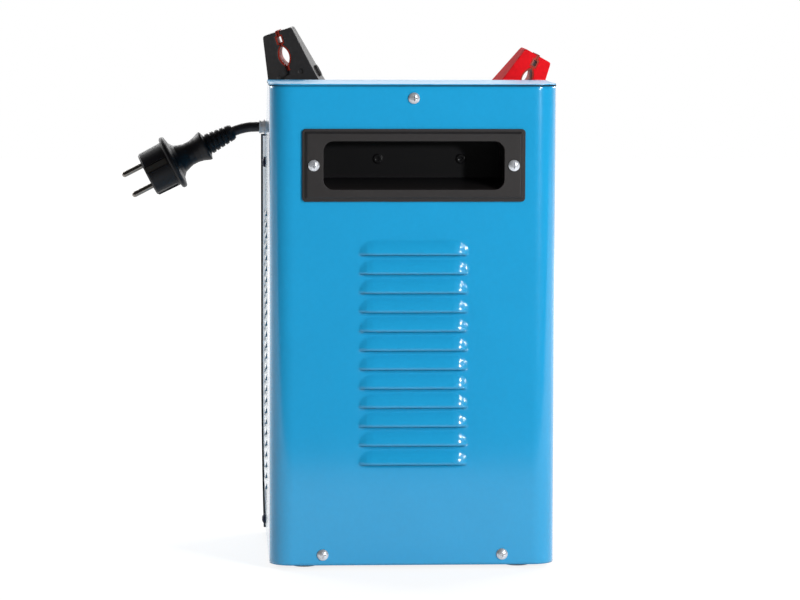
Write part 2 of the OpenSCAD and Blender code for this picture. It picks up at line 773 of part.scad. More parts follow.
// Wedge that narrows the jaws from the given width to tip_w at their end
module jaw_wedge(width, tip_w) {
    rotate([90, 0, 90]) translate([0, 0, -40]) linear_extrude(80) polygon([
        [-width / 2, -handle_len - 5], [width / 2, -handle_len - 5], [width / 2, jaw_taper_z],
        [tip_w / 2, jaw_len], [tip_w / 2, jaw_len + 3], [-tip_w / 2, jaw_len + 3], [-tip_w / 2, jaw_len],
        [-width / 2, jaw_taper_z]
    ]);
}

// Raised oval loop on a clamp half's back, above the pin
module clamp_loop() {
    lean = atan(clamp_flare / jaw_len);
    z = 4;
    translate([tip_half + clamp_flare * (1 - z / jaw_len) - 0.8, 0, z]) rotate([0, 90 - lean, 0])
        linear_extrude(loop_out + 0.8) difference() {
            oval(2, 2.9);
            oval(2, 1.6);
        }
}

// One moulded half: two cheeks that near each other towards the tip, and a back along the outer edge
module clamp_half(width, tip_w) {
    hollow = 2 * clamp_wall;
    difference() {
        union() {
            intersection() {
                along_y(-width, width) {
                    clamp_outline();
                    circle(clamp_ear_r);
                }
                jaw_wedge(width, tip_w);
            }
            clamp_loop();
            for (i = [0 : 5]) translate([tip_half + 12.4, 2 - width / 2, 24 - handle_len + i * 6])
                cube([2.9, width - 4, 2.4]);
        }
        intersection() {
            along_y(-width, width) {
                translate([-clamp_wall, -clamp_wall]) clamp_outline();
                circle(clamp_ear_r + eps);
            }
            jaw_wedge(width - hollow, tip_w - hollow);
        }
        along_y(-width, width) {
            clamp_bite(0);
            circle(clamp_pin_r + bore_fit);
        }
        for (s = [-1, 1]) translate([dimple_at[0], s * width / 2, dimple_at[1]]) rotate([90, 0, 0])
            cylinder(r = 2.1, h = 1.4, center = true);
    }
}

// Copper jaw: a strip that lines the bite and the notch and ends in teeth at the tip
module clamp_jaw(width, tip_w) {
    difference() {
        intersection() {
            along_y(-width, width) difference() {
                clamp_bite(bore_fit);
                clamp_bite(bore_fit + jaw_t);
            }
            translate([jaw_gap, -width, 0]) cube([20, 2 * width, jaw_len + 0.9]);
            jaw_wedge(width, tip_w);
        }
        for (i = [-1 : 1]) translate([-1, i * tip_w / 3.5 - 1, jaw_len - 0.8]) cube([5, 2, 3]);
    }
}

// Clamp's own frame at its pin; side 1 has the outer half on +X, side -1 on -X
module clamp_frame(pin, lean, yaw) {
    translate(pin) rotate([0, lean, 0]) rotate([0, 0, yaw]) children();
}

module clamp_at(pin, lean, yaw, side) {
    clamp_frame(pin, lean, yaw) mirror([side < 0 ? 1 : 0, 0, 0]) children();
}

module clamp_pin(pin, lean, yaw) {
    head = 1.6;
    clamp_frame(pin, lean, yaw) rotate([90, 0, 0]) {
        cylinder(r = clamp_pin_r, h = clamp_w + 2 * bore_fit + 2 * fit, center = true);
        for (s = [-1, 1]) translate([0, 0, s * (clamp_w / 2 + fit + head / 2)])
            cylinder(r = clamp_pin_r + 1.2, h = head, center = true);
    }
}

// Torsion spring round the pin, drawn as turns that touch, with a short leg towards each handle
module clamp_spring(pin, lean, yaw) {
    wire = 0.9;
    coil_r = clamp_pin_r + 0.5 + wire;
    clamp_frame(pin, lean, yaw) {
        rotate([90, 0, 0]) for (i = [-2 : 2]) translate([0, 0, i * 2 * wire * 0.96])
            rotate_extrude() translate([coil_r, 0]) circle(wire, $fn = 16);
        for (s = [-1, 1]) translate([s * (coil_r - 0.2), s * 3.4, 0]) rotate([0, 180 - s * 44, 0])
            cylinder(r = wire, h = 17, $fn = 16);
    }
}

// Crimped copper sleeve that holds the lead's end inside the fixed handle
module clamp_crimp(pin, lean, yaw, side, v) {
    clamp_at(pin, lean, yaw, side) translate([v, 0, -handle_len + 13]) {
        difference() {
            cylinder(r = lead_d / 2 + crimp_wall, h = crimp_len);
            translate([0, 0, -1]) cylinder(r = lead_d / 2, h = crimp_len - 1);
        }
        translate([lead_d / 2 + 0.4, -3, 2]) cube([crimp_lug(v), 6, crimp_len - 3]);
    }
}

// Length of the crimp's lug, from the sleeve to the inside of the clamp's back
function crimp_lug(v) = tip_half + 14.1 - clamp_wall - v - lead_d / 2 - 0.4;

module black_half(side) { clamp_at(black_pin_at, black_lean, black_yaw, side) children(); }
module red_half(side) { clamp_at(red_pin_at, red_lean, red_yaw, side) children(); }

module black_clamp_body() { color("#1d1d1f") black_half(-1) clamp_half(inner_clamp_w, body_tip_w); }
module black_clamp_lever() { color("#1d1d1f") black_half(1) clamp_half(clamp_w, lever_tip_w); }
module black_clamp_body_jaw() { color("#b06040") black_half(-1) clamp_jaw(inner_clamp_w, body_tip_w); }
module black_clamp_lever_jaw() { color("#b06040") black_half(1) clamp_jaw(clamp_w, lever_tip_w); }
module black_clamp_pin() { color("silver") clamp_pin(black_pin_at, black_lean, black_yaw); }
module black_clamp_spring() { color("silver") clamp_spring(black_pin_at, black_lean, black_yaw); }
module black_clamp_crimp() { color("#b06040") clamp_crimp(black_pin_at, black_lean, black_yaw, -1, black_lead_v); }
module red_clamp_body() { color("#c8141c") red_half(1) clamp_half(inner_clamp_w, body_tip_w); }
module red_clamp_lever() { color("#c8141c") red_half(-1) clamp_half(clamp_w, lever_tip_w); }
module red_clamp_body_jaw() { color("#b06040") red_half(1) clamp_jaw(inner_clamp_w, body_tip_w); }
module red_clamp_lever_jaw() { color("#b06040") red_half(-1) clamp_jaw(clamp_w, lever_tip_w); }
module red_clamp_pin() { color("silver") clamp_pin(red_pin_at, red_lean, red_yaw); }
module red_clamp_spring() { color("silver") clamp_spring(red_pin_at, red_lean, red_yaw); }
module red_clamp_crimp() { color("#b06040") clamp_crimp(red_pin_at, red_lean, red_yaw, 1, red_lead_v); }

// Meter: an open-fronted case with a round body behind, its dial, needle and clear window
module meter_case() {
    color("#202020") difference() {
        meter_block();
        pivot_hole(1 + bore_fit);
    }
}

module meter_block() {
    union() {
        along_y(field_y, field_y + meter_out) translate(meter_at) difference() {
            round_rect(meter_w, meter_h, 3);
            round_rect(meter_w - 2 * meter_wall, meter_h - 2 * meter_wall, 2);
        }
        along_y(field_y, field_y + 1.5) translate(meter_at) round_rect(meter_w - 1, meter_h - 1, 2);
        along_y(plate_back - meter_depth, field_y + eps) translate(meter_at) circle(meter_hole_r - hole_fit);
    }
}

// Hole for the needle's pivot, through the dial and into the case
module pivot_hole(r) {
    along_y(field_y, field_y + 4) translate([meter_at[0], meter_at[1] - meter_pivot_drop]) circle(r);
}

module meter_dial() {
    color("white") difference() {
        along_y(field_y + 1.5, field_y + 2.3) translate(meter_at)
            round_rect(meter_w - 2 * meter_wall - 1, meter_h - 2 * meter_wall - 1, 2);
        pivot_hole(1.4);
    }
}

module meter_needle() {
    at = [meter_at[0], field_y + 3.2, meter_at[1] - meter_pivot_drop];
    color("black") translate(at) rotate([0, needle_rest, 0]) {
        rotate([90, 0, 0]) cylinder(r = 2.6, h = 1, center = true);
        rotate([90, 0, 0]) cylinder(r = 1, h = 2.9);
        translate([-0.4, -0.3, 0]) cube([0.8, 0.6, needle_len]);
        translate([-0.9, -0.3, -7]) cube([1.8, 0.6, 8]);
    }
}

module meter_window() {
    color("lightcyan", 0.4) along_y(field_y + meter_out - 1.4, field_y + meter_out - 0.2) translate(meter_at)
        round_rect(meter_w - 2 * meter_wall - 0.2, meter_h - 2 * meter_wall - 0.2, 2);
}

// Selector: a switch behind the fascia whose bush comes through it, and a fluted knob with a pointer
module selector_switch() {
    at = [knob_at[0], 0, knob_at[1]];
    color("#3c3c3c") difference() {
        translate(at) rotate([-90, 0, 0]) {
            translate([0, 0, plate_back - 26]) cylinder(r = 17, h = 26 - eps);
            translate([0, 0, plate_back - 1]) cylinder(r = selector_r, h = front_y - plate_back + 2);
        }
        translate(at) rotate([-90, 0, 0]) translate([0, 0, plate_back - 12]) cylinder(r = knob_stem_r + bore_fit, h = 30);
    }
}

module selector_knob() {
    base = front_y + 1.5;
    color("#18181a") translate([knob_at[0], 0, knob_at[1]]) rotate([-90, 0, 0]) {
        difference() {
            union() {
                translate([0, 0, base]) cylinder(r = knob_d / 2, h = 4);
                translate([0, 0, base]) cylinder(r = knob_d / 2 - 6, h = knob_out - 1.5);
                translate([-2, -knob_d / 2 + 1, base + 3]) cube([4, knob_d / 2 - 1, knob_out - 6]);
            }
            for (i = [0 : 11]) rotate(15 + i * 30) translate([knob_d / 2 - 5, 0, base + 4]) cylinder(r = 2, h = knob_out);
            translate([0, 0, base - 1]) cylinder(r = selector_r + 1, h = 2);
        }
        translate([0, 0, plate_back - 10]) cylinder(r = knob_stem_r, h = base - plate_back + 12);
    }
}

// Rocker switch: a snap-in frame, and a rocker on two stub pins, tipped to off
module switch_frame(at) {
    difference() {
        union() {
            along_y(field_y, field_y + 2) translate(at) round_rect(rocker_w + 5, rocker_h + 5, 2);
            along_y(plate_back - 16, field_y + eps) translate(at) square([rocker_w, rocker_h], center = true);
        }
        along_y(plate_back - 9, field_y + 3) translate(at)
            square([rocker_w - 2 * switch_wall, rocker_h - 2 * switch_wall], center = true);
        translate([at[0], rocker_y, at[1]]) rotate([0, 90, 0]) cylinder(r = rocker_pin_r + bore_fit, h = rocker_w + 2, center = true);
    }
}

module switch_rocker(at) {
    h = rocker_h / 2 - switch_wall - 1.5;
    w = rocker_w - 2 * switch_wall - 1.2;
    translate([at[0], rocker_y, at[1]]) rotate([-rocker_tip, 0, 0]) {
        rotate([90, 0, 90]) translate([0, 0, -w / 2]) linear_extrude(w)
            polygon([[-3, -h], [6.4, -h], [4.4, -h / 2], [3.8, 0], [4.4, h / 2], [6.4, h], [-3, h], [-5, 0]]);
        rotate([0, 90, 0]) cylinder(r = rocker_pin_r, h = rocker_w - 0.4, center = true);
    }
}

module power_switch_frame() { color("#1a1a1a") switch_frame(power_at); }
module power_rocker() { color("#1a1a1a") switch_rocker(power_at); }
module mode_switch_frame() { color("#1a1a1a") switch_frame(mode_at); }
module mode_rocker() { color("#1a1a1a") switch_rocker(mode_at); }

// Thermal breaker: a body behind the fascia, a collar with its nut in front, and the reset button
module breaker_body() {
    at = [breaker_at[0], 0, breaker_at[1]];
    color("#2e2e2e") difference() {
        translate(at) rotate([-90, 0, 0]) {
            translate([0, 0, plate_back - 28]) cylinder(r = 9, h = 28 - eps);
            translate([0, 0, plate_back - 1]) cylinder(r = breaker_r, h = front_y - plate_back + 4);
            translate([0, 0, field_y + eps]) cylinder(r = breaker_r + 3, h = 3, $fn = 6);
        }
        translate(at) rotate([-90, 0, 0]) translate([0, 0, plate_back - 12]) cylinder(r = button_r + bore_fit, h = 40);
    }
}

module breaker_button() {
    color("#b01818") translate([breaker_at[0], 0, breaker_at[1]]) rotate([-90, 0, 0]) {
        translate([0, 0, plate_back - 8]) cylinder(r = button_r, h = front_y - plate_back + 13);
        translate([0, 0, front_y + 5]) cylinder(r = button_r - 0.8, h = 0.8);
    }
}

module pilot_lamps() {
    color("orangered") for (s = [-1, 1]) translate([s * lamp_x, 0, meter_at[1]]) rotate([-90, 0, 0]) {
        translate([0, 0, plate_back - 12]) cylinder(r = lamp_r, h = field_y - plate_back + 13);
        translate([0, 0, field_y + eps]) cylinder(r = lamp_r + 1.6, h = 1.4);
        translate([0, 0, field_y + 1.4]) sphere(lamp_r - 0.4);
    }
}

// Transformer: a laminated core on two feet, and the windings round its middle limb
module core_bolt_places() {
    for (x = [-1, 1], y = [-1, 1])
        translate([x * (core_w / 2 - 12), transformer_y + y * (core_d / 2 + 9), pan_top]) children();
}

// Places for the two bolts through the rectifier's foot
module rect_bolt_places() {
    for (x = [-1, 1]) translate([x * (rect_w / 2 - 8), back_y + plate_gap + rect_foot - 4, pan_top]) children();
}

module transformer_core() {
    color("#5b5f63") translate([0, transformer_y, pan_top]) difference() {
        union() {
            translate([-core_w / 2, -core_d / 2, 0]) cube([core_w, core_d, core_h]);
            for (x = [-1, 1]) translate([x * (core_w / 2 - 12) - 10, -core_d / 2 - 18, 0]) cube([20, core_d + 36, 2.5]);
        }
        for (x = [-1, 1]) translate([x * core_w / 4 - core_window_w / 2, -core_d / 2 - 1, core_h / 5])
            cube([core_window_w, core_d + 2, core_h * 3 / 5]);
        translate([0, -transformer_y, -pan_top]) core_bolt_places() screw_hole();
    }
}

module transformer_winding() {
    inner = core_w / 2 - core_window_w;
    outer = core_w / 2 + core_window_w - 2 * fit;
    gap = 2 * fit;
    color("#8c4a22") translate([0, transformer_y, pan_top + core_h / 5 + fit]) linear_extrude(core_h * 3 / 5 - 2 * fit)
        difference() {
            round_rect(outer, core_d + 2 * winding_t, 5);
            square([inner + gap, core_d + gap], center = true);
        }
}

module transformer_bolts() {
    color("silver") {
        core_bolt_places() bolt(2.5);
        rect_bolt_places() bolt(3);
    }
}

// Hexagon bolt through a foot of the given thickness and the base pan
module bolt(foot_t) {
    translate([0, 0, foot_t]) cylinder(r = 4, h = 3.2, $fn = 6);
    translate([0, 0, -sheet_t - 1.8]) cylinder(r = shank_r, h = foot_t + sheet_t + 2);
}

// Rectifier: a finned aluminium plate on a foot, with press-in diodes
module rectifier_plate() {
    y = back_y + plate_gap;
    color("lightgray") difference() {
        union() {
            translate([-rect_w / 2, y, pan_top]) cube([rect_w, 4, rect_h]);
            translate([-rect_w / 2, y, pan_top]) cube([rect_w, rect_foot, 3]);
            for (i = [0 : 9]) translate([-rect_w / 2 + i * (rect_w - 2) / 9, y - 12, pan_top + 6]) cube([2, 12 + eps, rect_h - 6]);
        }
        diode_places() translate([0, 0, -4]) cylinder(r = diode_r, h = 5);
        rect_bolt_places() screw_hole();
    }
}

module diode_places() {
    for (x = [-1, 1], z = [0.6, 0.85]) translate([x * rect_w / 4, back_y + plate_gap + 4, pan_top + z * rect_h])
        rotate([-90, 0, 0]) children();
}

module rectifier_diodes() {
    color("silver") diode_places() {
        translate([0, 0, -3.9]) cylinder(r = diode_r, h = 6.9);
        translate([0, 0, 3 - eps]) cylinder(r1 = 4, r2 = 1.5, h = 4);
        cylinder(r = 1, h = 16);
    }
}

module terminal_block() {
    poles = 5;
    pitch = 12;
    color("ivory") difference() {
        translate([block_at[0], block_at[1], pan_top]) cube([poles * pitch + 4, 16, 18]);
        for (i = [0 : poles - 1]) translate([block_at[0] + 8 + i * pitch, block_at[1], pan_top]) {
            translate([0, 8, 8]) cylinder(r = 3, h = 12);
            translate([0, -1, 6]) rotate([-90, 0, 0]) cylinder(r = 2.2, h = 18);
            translate([pitch / 2 - 1, -1, 11]) cube([2, 18, 8]);
        }
    }
}

cabinet_wrap();
top_cover();
base_pan();
rubber_feet();
front_fascia();
cable_bin();
grip_cup();
grip_screws();
case_screws();
fascia_screws();
cord_bushing();
mains_gland();
red_gland();
black_gland();
mains_tail();
mains_hank();
mains_run();
cord_ties();
plug_body();
plug_pins();
plug_earth_contacts();
red_tail();
red_hank();
red_run();
black_tail();
black_hank();
black_run();
black_clamp_body();
black_clamp_lever();
black_clamp_body_jaw();
black_clamp_lever_jaw();
black_clamp_pin();
black_clamp_spring();
black_clamp_crimp();
red_clamp_body();
red_clamp_lever();
red_clamp_body_jaw();
red_clamp_lever_jaw();
red_clamp_pin();
red_clamp_spring();
red_clamp_crimp();
meter_case();
meter_dial();
meter_needle();
meter_window();
selector_switch();
selector_knob();
power_switch_frame();
power_rocker();
mode_switch_frame();
mode_rocker();
breaker_body();
breaker_button();
pilot_lamps();
transformer_core();
transformer_winding();
transformer_bolts();
rectifier_plate();
rectifier_diodes();
terminal_block();
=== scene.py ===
"""Battery charger with jump starter: the dressed model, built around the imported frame."""

import logging
import math
from dataclasses import dataclass, field
from enum import Enum

import bpy
import numpy as np
from mathutils import Matrix, Vector

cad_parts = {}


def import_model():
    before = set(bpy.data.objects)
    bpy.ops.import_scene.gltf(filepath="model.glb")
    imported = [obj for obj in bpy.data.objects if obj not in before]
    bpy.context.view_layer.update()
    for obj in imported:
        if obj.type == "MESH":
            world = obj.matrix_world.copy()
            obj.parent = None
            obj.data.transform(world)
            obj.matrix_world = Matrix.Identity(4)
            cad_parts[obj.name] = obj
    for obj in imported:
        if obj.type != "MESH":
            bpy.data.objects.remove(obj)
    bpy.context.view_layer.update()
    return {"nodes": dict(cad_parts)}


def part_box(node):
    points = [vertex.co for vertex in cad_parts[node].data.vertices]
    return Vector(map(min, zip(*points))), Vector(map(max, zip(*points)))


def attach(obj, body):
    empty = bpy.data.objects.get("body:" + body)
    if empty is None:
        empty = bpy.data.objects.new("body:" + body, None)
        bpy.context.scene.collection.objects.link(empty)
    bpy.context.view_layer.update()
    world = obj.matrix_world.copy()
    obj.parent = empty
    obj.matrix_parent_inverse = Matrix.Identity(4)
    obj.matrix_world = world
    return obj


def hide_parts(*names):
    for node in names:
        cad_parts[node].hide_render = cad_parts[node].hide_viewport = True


LOG = logging.getLogger("charger")
Points = np.ndarray
CABINET = "cabinet"
# Y 0.3 mm behind the back of the grip's bezel, where the painted shade and the smoother gloss of its pocket
# begin
BEZEL_BACK = -0.1072
# Distances past it over which the grip's colour darkens to its painted shade and its gloss changes
POCKET_SHADE_REACH, GLOSS_REACH = 0.034, 0.0006
# Cycles a metre of a colour's slow and fine change, and of worn patches
SLOW, QUICK, RUB = 25.0, 330.0, 60.0
# Noise values between which the colour and the roughness go from one end to the other
TINT_SPAN, RUB_SPAN = (0.3, 0.7), (0.3, 0.75)
# Lowest roughness that wear leaves
SMOOTHEST = 0.03
# Strength of every bump, and the rays that round an edge in the look, for the surface and for its clear coat
RELIEF = 0.6
EDGE_RAYS, COAT_RAYS = 6, 16


def linear(colour: str) -> tuple[float, float, float, float]:
    """Turn an sRGB hex colour into linear RGBA.

    Args:
        colour: six hex digits, with or without a leading hash.

    Returns:
        Linear red, green, blue and an alpha of 1.
    """
    raw = colour.lstrip("#")
    parts = [int(raw[i:i + 2], 16) / 255 for i in (0, 2, 4)]
    return (*[c / 12.92 if c <= 0.04045 else ((c + 0.055) / 1.055) ** 2.4 for c in parts], 1.0)


def add(tree: bpy.types.NodeTree, kind: str, links: dict | None = None, **settings) -> bpy.types.Node:
    """Add one node with its settings and links.

    Args:
        tree: node tree that gets the node.
        kind: the node's type name.
        links: input name or index to the output socket that feeds it.
        **settings: attributes of the node, or values of its inputs with spaces written as underscores.

    Returns:
        The new node.
    """
    node = tree.nodes.new(kind)
    for name, value in settings.items():
        if hasattr(node, name):
            setattr(node, name, value)
        else:
            node.inputs[name.replace("_", " ")].default_value = value
    for name, socket in (links or {}).items():
        tree.links.new(socket, node.inputs[name])
    return node


def put_object(name: str, data: bpy.types.ID) -> bpy.types.Object:
    """Make an object of a mesh, curve, light or camera and put it into the scene.

    Args:
        name: the object's name.
        data: what it shows.

    Returns:
        The object.
    """
    obj = bpy.data.objects.new(name, data)
    bpy.context.scene.collection.objects.link(obj)
    return obj


class Weave(Enum):
    """The kinds of fine surface pattern."""

    PEEL = "soft rounded bumps"
    GRAIN = "small cells"
    BRUSH = "fine marks, drawn out to lines where the axes differ"
    LAYERS = "stacked sheets or wound wire"


@dataclass(frozen=True)
class Finish:
    """One surface finish, made as a procedural material on object coordinates.

    Attributes:
        name: the material's name.
        colour: sRGB hex colour of the surface.
        roughness: roughness where nothing is worn.
        metallic: 1 for bare metal, less where a plating looks partly like paint.
        pattern: kind of fine relief.
        size_mm: distance between two bumps of the relief.
        depth_mm: height of the relief.
        mottle: share by which the colour goes up and down.
        wear: roughness that handling adds.
        coat: weight of the clear coat.
        round_mm: radius to which the look rounds the edges.
        axis: scale of the relief along X, Y and Z.
        glow: painted light of its own.
        clear: share of the light that goes through.
        gleam: strength of the surface's own mirror-like share, where 0.5 is plain.
        coat_rough: roughness of the clear coat.
        inner: painted shade, the colour deep in the grip's pocket, or nothing.
        inner_rough: roughness in that pocket.
    """

    name: str
    colour: str
    roughness: float
    metallic: float = 0.0
    pattern: Weave = Weave.GRAIN
    size_mm: float = 1.0
    depth_mm: float = 0.01
    mottle: float = 0.04
    wear: float = 0.06
    coat: float = 0.0
    round_mm: float = 0.0
    axis: tuple[float, float, float] = (1.0, 1.0, 1.0)
    glow: float = 0.0
    clear: float = 0.0
    gleam: float = 0.5
    coat_rough: float = 0.12
    inner: str = ""
    inner_rough: float = 0.18

    def build(self) -> bpy.types.Material:
        """Make the material, or return the one already made.

        Returns:
            The material.
        """
        if self.name in bpy.data.materials:
            return bpy.data.materials[self.name]
        mat = bpy.data.materials.new(self.name)
        mat.use_nodes = True
        tree = mat.node_tree
        tree.nodes.clear()
        coords = add(tree, "ShaderNodeTexCoord").outputs["Object"]
        fine = self._fine(tree, coords)
        shader = add(tree, "ShaderNodeBsdfPrincipled", {
            "Base Color": self._tint(tree, coords), "Roughness": self._gloss(tree, coords),
            "Normal": self._relief(tree, fine),
        }, Metallic=self.metallic, Coat_Weight=self.coat, Coat_Roughness=self.coat_rough,
            Transmission_Weight=self.clear, Specular_IOR_Level=self.gleam)
        if self.coat and self.round_mm:
            edge = add(tree, "ShaderNodeBevel", samples=COAT_RAYS, Radius=self.round_mm / 1000)
            tree.links.new(edge.outputs[0], shader.inputs["Coat Normal"])
        # Painted light: a glow on parts that give no light of their own
        if self.glow:
            shader.inputs["Emission Color"].default_value = linear(self.colour)
            shader.inputs["Emission Strength"].default_value = self.glow
        add(tree, "ShaderNodeOutputMaterial", {"Surface": shader.outputs[0]})
        mat.diffuse_color = linear(self.colour)
        return mat

    def _fine(self, tree: bpy.types.NodeTree, coords: bpy.types.NodeSocket) -> bpy.types.NodeSocket:
        """Height of the fine pattern at its real size, 1000 / size_mm cycles a metre.

        The wave texture draws 10 / pi bands for each unit of its scale, so its scale is pi / 10 of that.

        Args:
            tree: the material's node tree.
            coords: object coordinates.

        Returns:
            The height.
        """
        scale = 1000 / self.size_mm
        spot = add(tree, "ShaderNodeMapping", {"Vector": coords}, Scale=self.axis).outputs[0]
        if self.pattern is Weave.GRAIN:
            return add(tree, "ShaderNodeTexVoronoi", {"Vector": spot}, feature="SMOOTH_F1",
                       Scale=scale).outputs[0]
        if self.pattern is Weave.LAYERS:
            return add(tree, "ShaderNodeTexWave", {"Vector": spot}, bands_direction="Z",
                       Scale=scale * math.pi / 10, Distortion=0.4, Detail=2.0).outputs["Fac"]
        detail = 2.0 if self.pattern is Weave.PEEL else 4.0
        return add(tree, "ShaderNodeTexNoise", {"Vector": spot}, Scale=scale, Detail=detail).outputs[0]

    def _tint(self, tree: bpy.types.NodeTree, coords: bpy.types.NodeSocket) -> bpy.types.NodeSocket:
        """Base colour times 1 minus mottle to 1 plus mottle, by the mean of a slow and a fine noise.

        Where there is an inner colour, it goes over to that painted shade by the depth in the grip's pocket.

        Args:
            tree: the material's node tree.
            coords: object coordinates.

        Returns:
            The colour.
        """
        slow = add(tree, "ShaderNodeTexNoise", {"Vector": coords}, Scale=SLOW, Detail=3.0).outputs[0]
        quick = add(tree, "ShaderNodeTexNoise", {"Vector": coords}, Scale=QUICK, Detail=4.0).outputs[0]
        both = add(tree, "ShaderNodeMath", {0: slow, 1: quick}, operation="ADD").outputs[0]
        mean = add(tree, "ShaderNodeMath", {0: both}, operation="MULTIPLY")
        mean.inputs[1].default_value = 0.5
        ramp = add(tree, "ShaderNodeValToRGB", {0: mean.outputs[0]})
        stops = ramp.color_ramp.elements
        stops[0].position, stops[1].position = TINT_SPAN
        for stop, share in zip(stops, (1 - self.mottle, 1 + self.mottle)):
            stop.color = (*[min(c * share, 1) for c in linear(self.colour)[:3]], 1)
        if not self.inner:
            return ramp.outputs[0]
        # Painted shade: the colour goes dark deep in the grip's pocket
        deep = self._depth(tree, coords, POCKET_SHADE_REACH)
        mix = add(tree, "ShaderNodeMix", {0: deep, 6: ramp.outputs[0]}, data_type="RGBA")
        mix.inputs[7].default_value = linear(self.inner)
        return mix.outputs[2]

    def _gloss(self, tree: bpy.types.NodeTree, coords: bpy.types.NodeSocket) -> bpy.types.NodeSocket:
        """Roughness from half the wear under the plain value to the whole wear over it, by a noise.

        Where there is an inner colour, it goes over to inner_rough by the depth in the grip's pocket.

        Args:
            tree: the material's node tree.
            coords: object coordinates.

        Returns:
            The roughness.
        """
        rub = add(tree, "ShaderNodeTexNoise", {"Vector": coords}, Scale=RUB, Detail=5.0,
                  Roughness=0.6).outputs[0]
        worn = add(tree, "ShaderNodeMapRange", {0: rub}, From_Min=RUB_SPAN[0], From_Max=RUB_SPAN[1],
                   To_Min=max(self.roughness - self.wear / 2, SMOOTHEST),
                   To_Max=self.roughness + self.wear).outputs[0]
        if not self.inner:
            return worn
        deep = self._depth(tree, coords, GLOSS_REACH)
        return add(tree, "ShaderNodeMapRange", {0: deep, 3: worn}, From_Min=0.0, From_Max=1.0,
                   To_Max=self.inner_rough).outputs[0]

    @staticmethod
    def _depth(tree: bpy.types.NodeTree, coords: bpy.types.NodeSocket, reach: float) -> bpy.types.NodeSocket:
        """Y past BEZEL_BACK over reach, held between 0 on the bezel and 1 deep in the pocket.

        Args:
            tree: the material's node tree.
            coords: object coordinates.
            reach: distance in metres at which it comes to 1.

        Returns:
            The share.
        """
        along = add(tree, "ShaderNodeSeparateXYZ", {0: coords}).outputs["Y"]
        return add(tree, "ShaderNodeMapRange", {0: along}, From_Min=BEZEL_BACK,
                   From_Max=BEZEL_BACK + reach).outputs[0]

    def _relief(self, tree: bpy.types.NodeTree, fine: bpy.types.NodeSocket) -> bpy.types.NodeSocket:
        """Normal from the fine pattern, over edges rounded to round_mm.

        Args:
            tree: the material's node tree.
            fine: height of the fine pattern.

        Returns:
            The normal.
        """
        links = {"Height": fine}
        if self.round_mm:
            edge = add(tree, "ShaderNodeBevel", samples=EDGE_RAYS, Radius=self.round_mm / 1000)
            links["Normal"] = edge.outputs[0]
        return add(tree, "ShaderNodeBump", links, Strength=RELIEF, Distance=self.depth_mm / 1000).outputs[0]


# Polyester powder coat on sheet steel: even blue, soft gloss, faint orange peel about 2 mm across
BLUE_COAT = Finish("powder_coat_blue", "#1B9ACF", 0.20, pattern=Weave.PEEL, size_mm=2.2, depth_mm=0.008,
                   mottle=0.03, wear=0.04, coat=1.0, coat_rough=0.12, round_mm=3.6, gleam=0.15)
# The same blue on the cover with a rougher clear coat, set to come near the photograph's pale top
COVER_COAT = Finish("powder_coat_blue_cover", "#1B9ACF", 0.35, pattern=Weave.PEEL, size_mm=2.2, depth_mm=0.006,
                    mottle=0.03, wear=0.04, coat=1.0, coat_rough=0.34, round_mm=0.9, gleam=0.0)
# Powder coat in near black on the fascia plate, matt with a fine peel
DARK_COAT = Finish("powder_coat_dark", "#2A2B30", 0.62, pattern=Weave.PEEL, size_mm=1.6, depth_mm=0.02,
                   mottle=0.08, round_mm=0.5, gleam=0.2)
# Moulded ABS with a spark-eroded grain: dark grey with a wide soft sheen; darker in the pocket by painted
# shade, and smoother there
GRIP_ABS = Finish("grained_abs_black", "#242121", 0.50, size_mm=0.9, depth_mm=0.02, mottle=0.12, round_mm=0.8,
                  gleam=0.4, inner="#0D0D0F", inner_rough=0.28)
# Vacuum-formed ABS of the bin, duller and a little paler
BIN_ABS = Finish("formed_abs_grey", "#2E3034", 0.52, size_mm=1.3, depth_mm=0.02, mottle=0.08, round_mm=0.6)
# Polished moulded ABS of switches, knob, meter case and glands: black with small clear highlights
GLOSS_ABS = Finish("moulded_abs_gloss", "#141416", 0.24, size_mm=0.8, depth_mm=0.004, mottle=0.06, round_mm=0.4)
# Bright zinc on screws and bolts: cool pale metal, mottled by the plating
ZINC_SCREW = Finish("zinc_plated_screw", "#D2D5DA", 0.28, metallic=0.6, pattern=Weave.BRUSH, size_mm=0.8,
                    depth_mm=0.05, mottle=0.38, wear=0.12, round_mm=0.15)
# Blackened screws at the fascia's sides: dull blue black
BLACK_SCREW = Finish("blackened_screw", "#1A2038", 0.55, metallic=0.2, pattern=Weave.BRUSH, size_mm=0.4,
                     depth_mm=0.006, mottle=0.10, round_mm=0.25, gleam=0.2)
# Galvanised pan: grey metal with crystals about 9 mm across
ZINC_SHEET = Finish("galvanised_sheet", "#9EA3A8", 0.42, metallic=1.0, pattern=Weave.GRAIN, size_mm=9.0,
                    depth_mm=0.01, mottle=0.14, wear=0.16, round_mm=0.4)
# Nylon bushing, light grey and slightly waxy
NYLON = Finish("moulded_nylon_grey", "#DADBDE", 0.38, size_mm=0.8, depth_mm=0.004, round_mm=0.3)
# Moulded rubber feet, pale grey and matt
FOOT_RUBBER = Finish("moulded_foot_rubber", "#A9AAAC", 0.70, size_mm=0.8, depth_mm=0.02, mottle=0.12,
                     round_mm=0.6)
# PVC sheath of the mains cord and the black lead: satin, with faint unevenness from extrusion
BLACK_SHEATH = Finish("pvc_sheath_black", "#231E20", 0.46, pattern=Weave.PEEL, size_mm=1.6, depth_mm=0.02,
                      mottle=0.10)
# The same sheath in deep red on the other lead
RED_SHEATH = Finish("pvc_sheath_red", "#A5121A", 0.40, pattern=Weave.PEEL, size_mm=1.6, depth_mm=0.02,
                    mottle=0.10)
# Moulded rubbery PVC of the plug, dull black
PLUG_PVC = Finish("moulded_pvc_plug", "#171518", 0.44, size_mm=0.9, depth_mm=0.015, mottle=0.12, round_mm=0.5,
                  gleam=0.3)
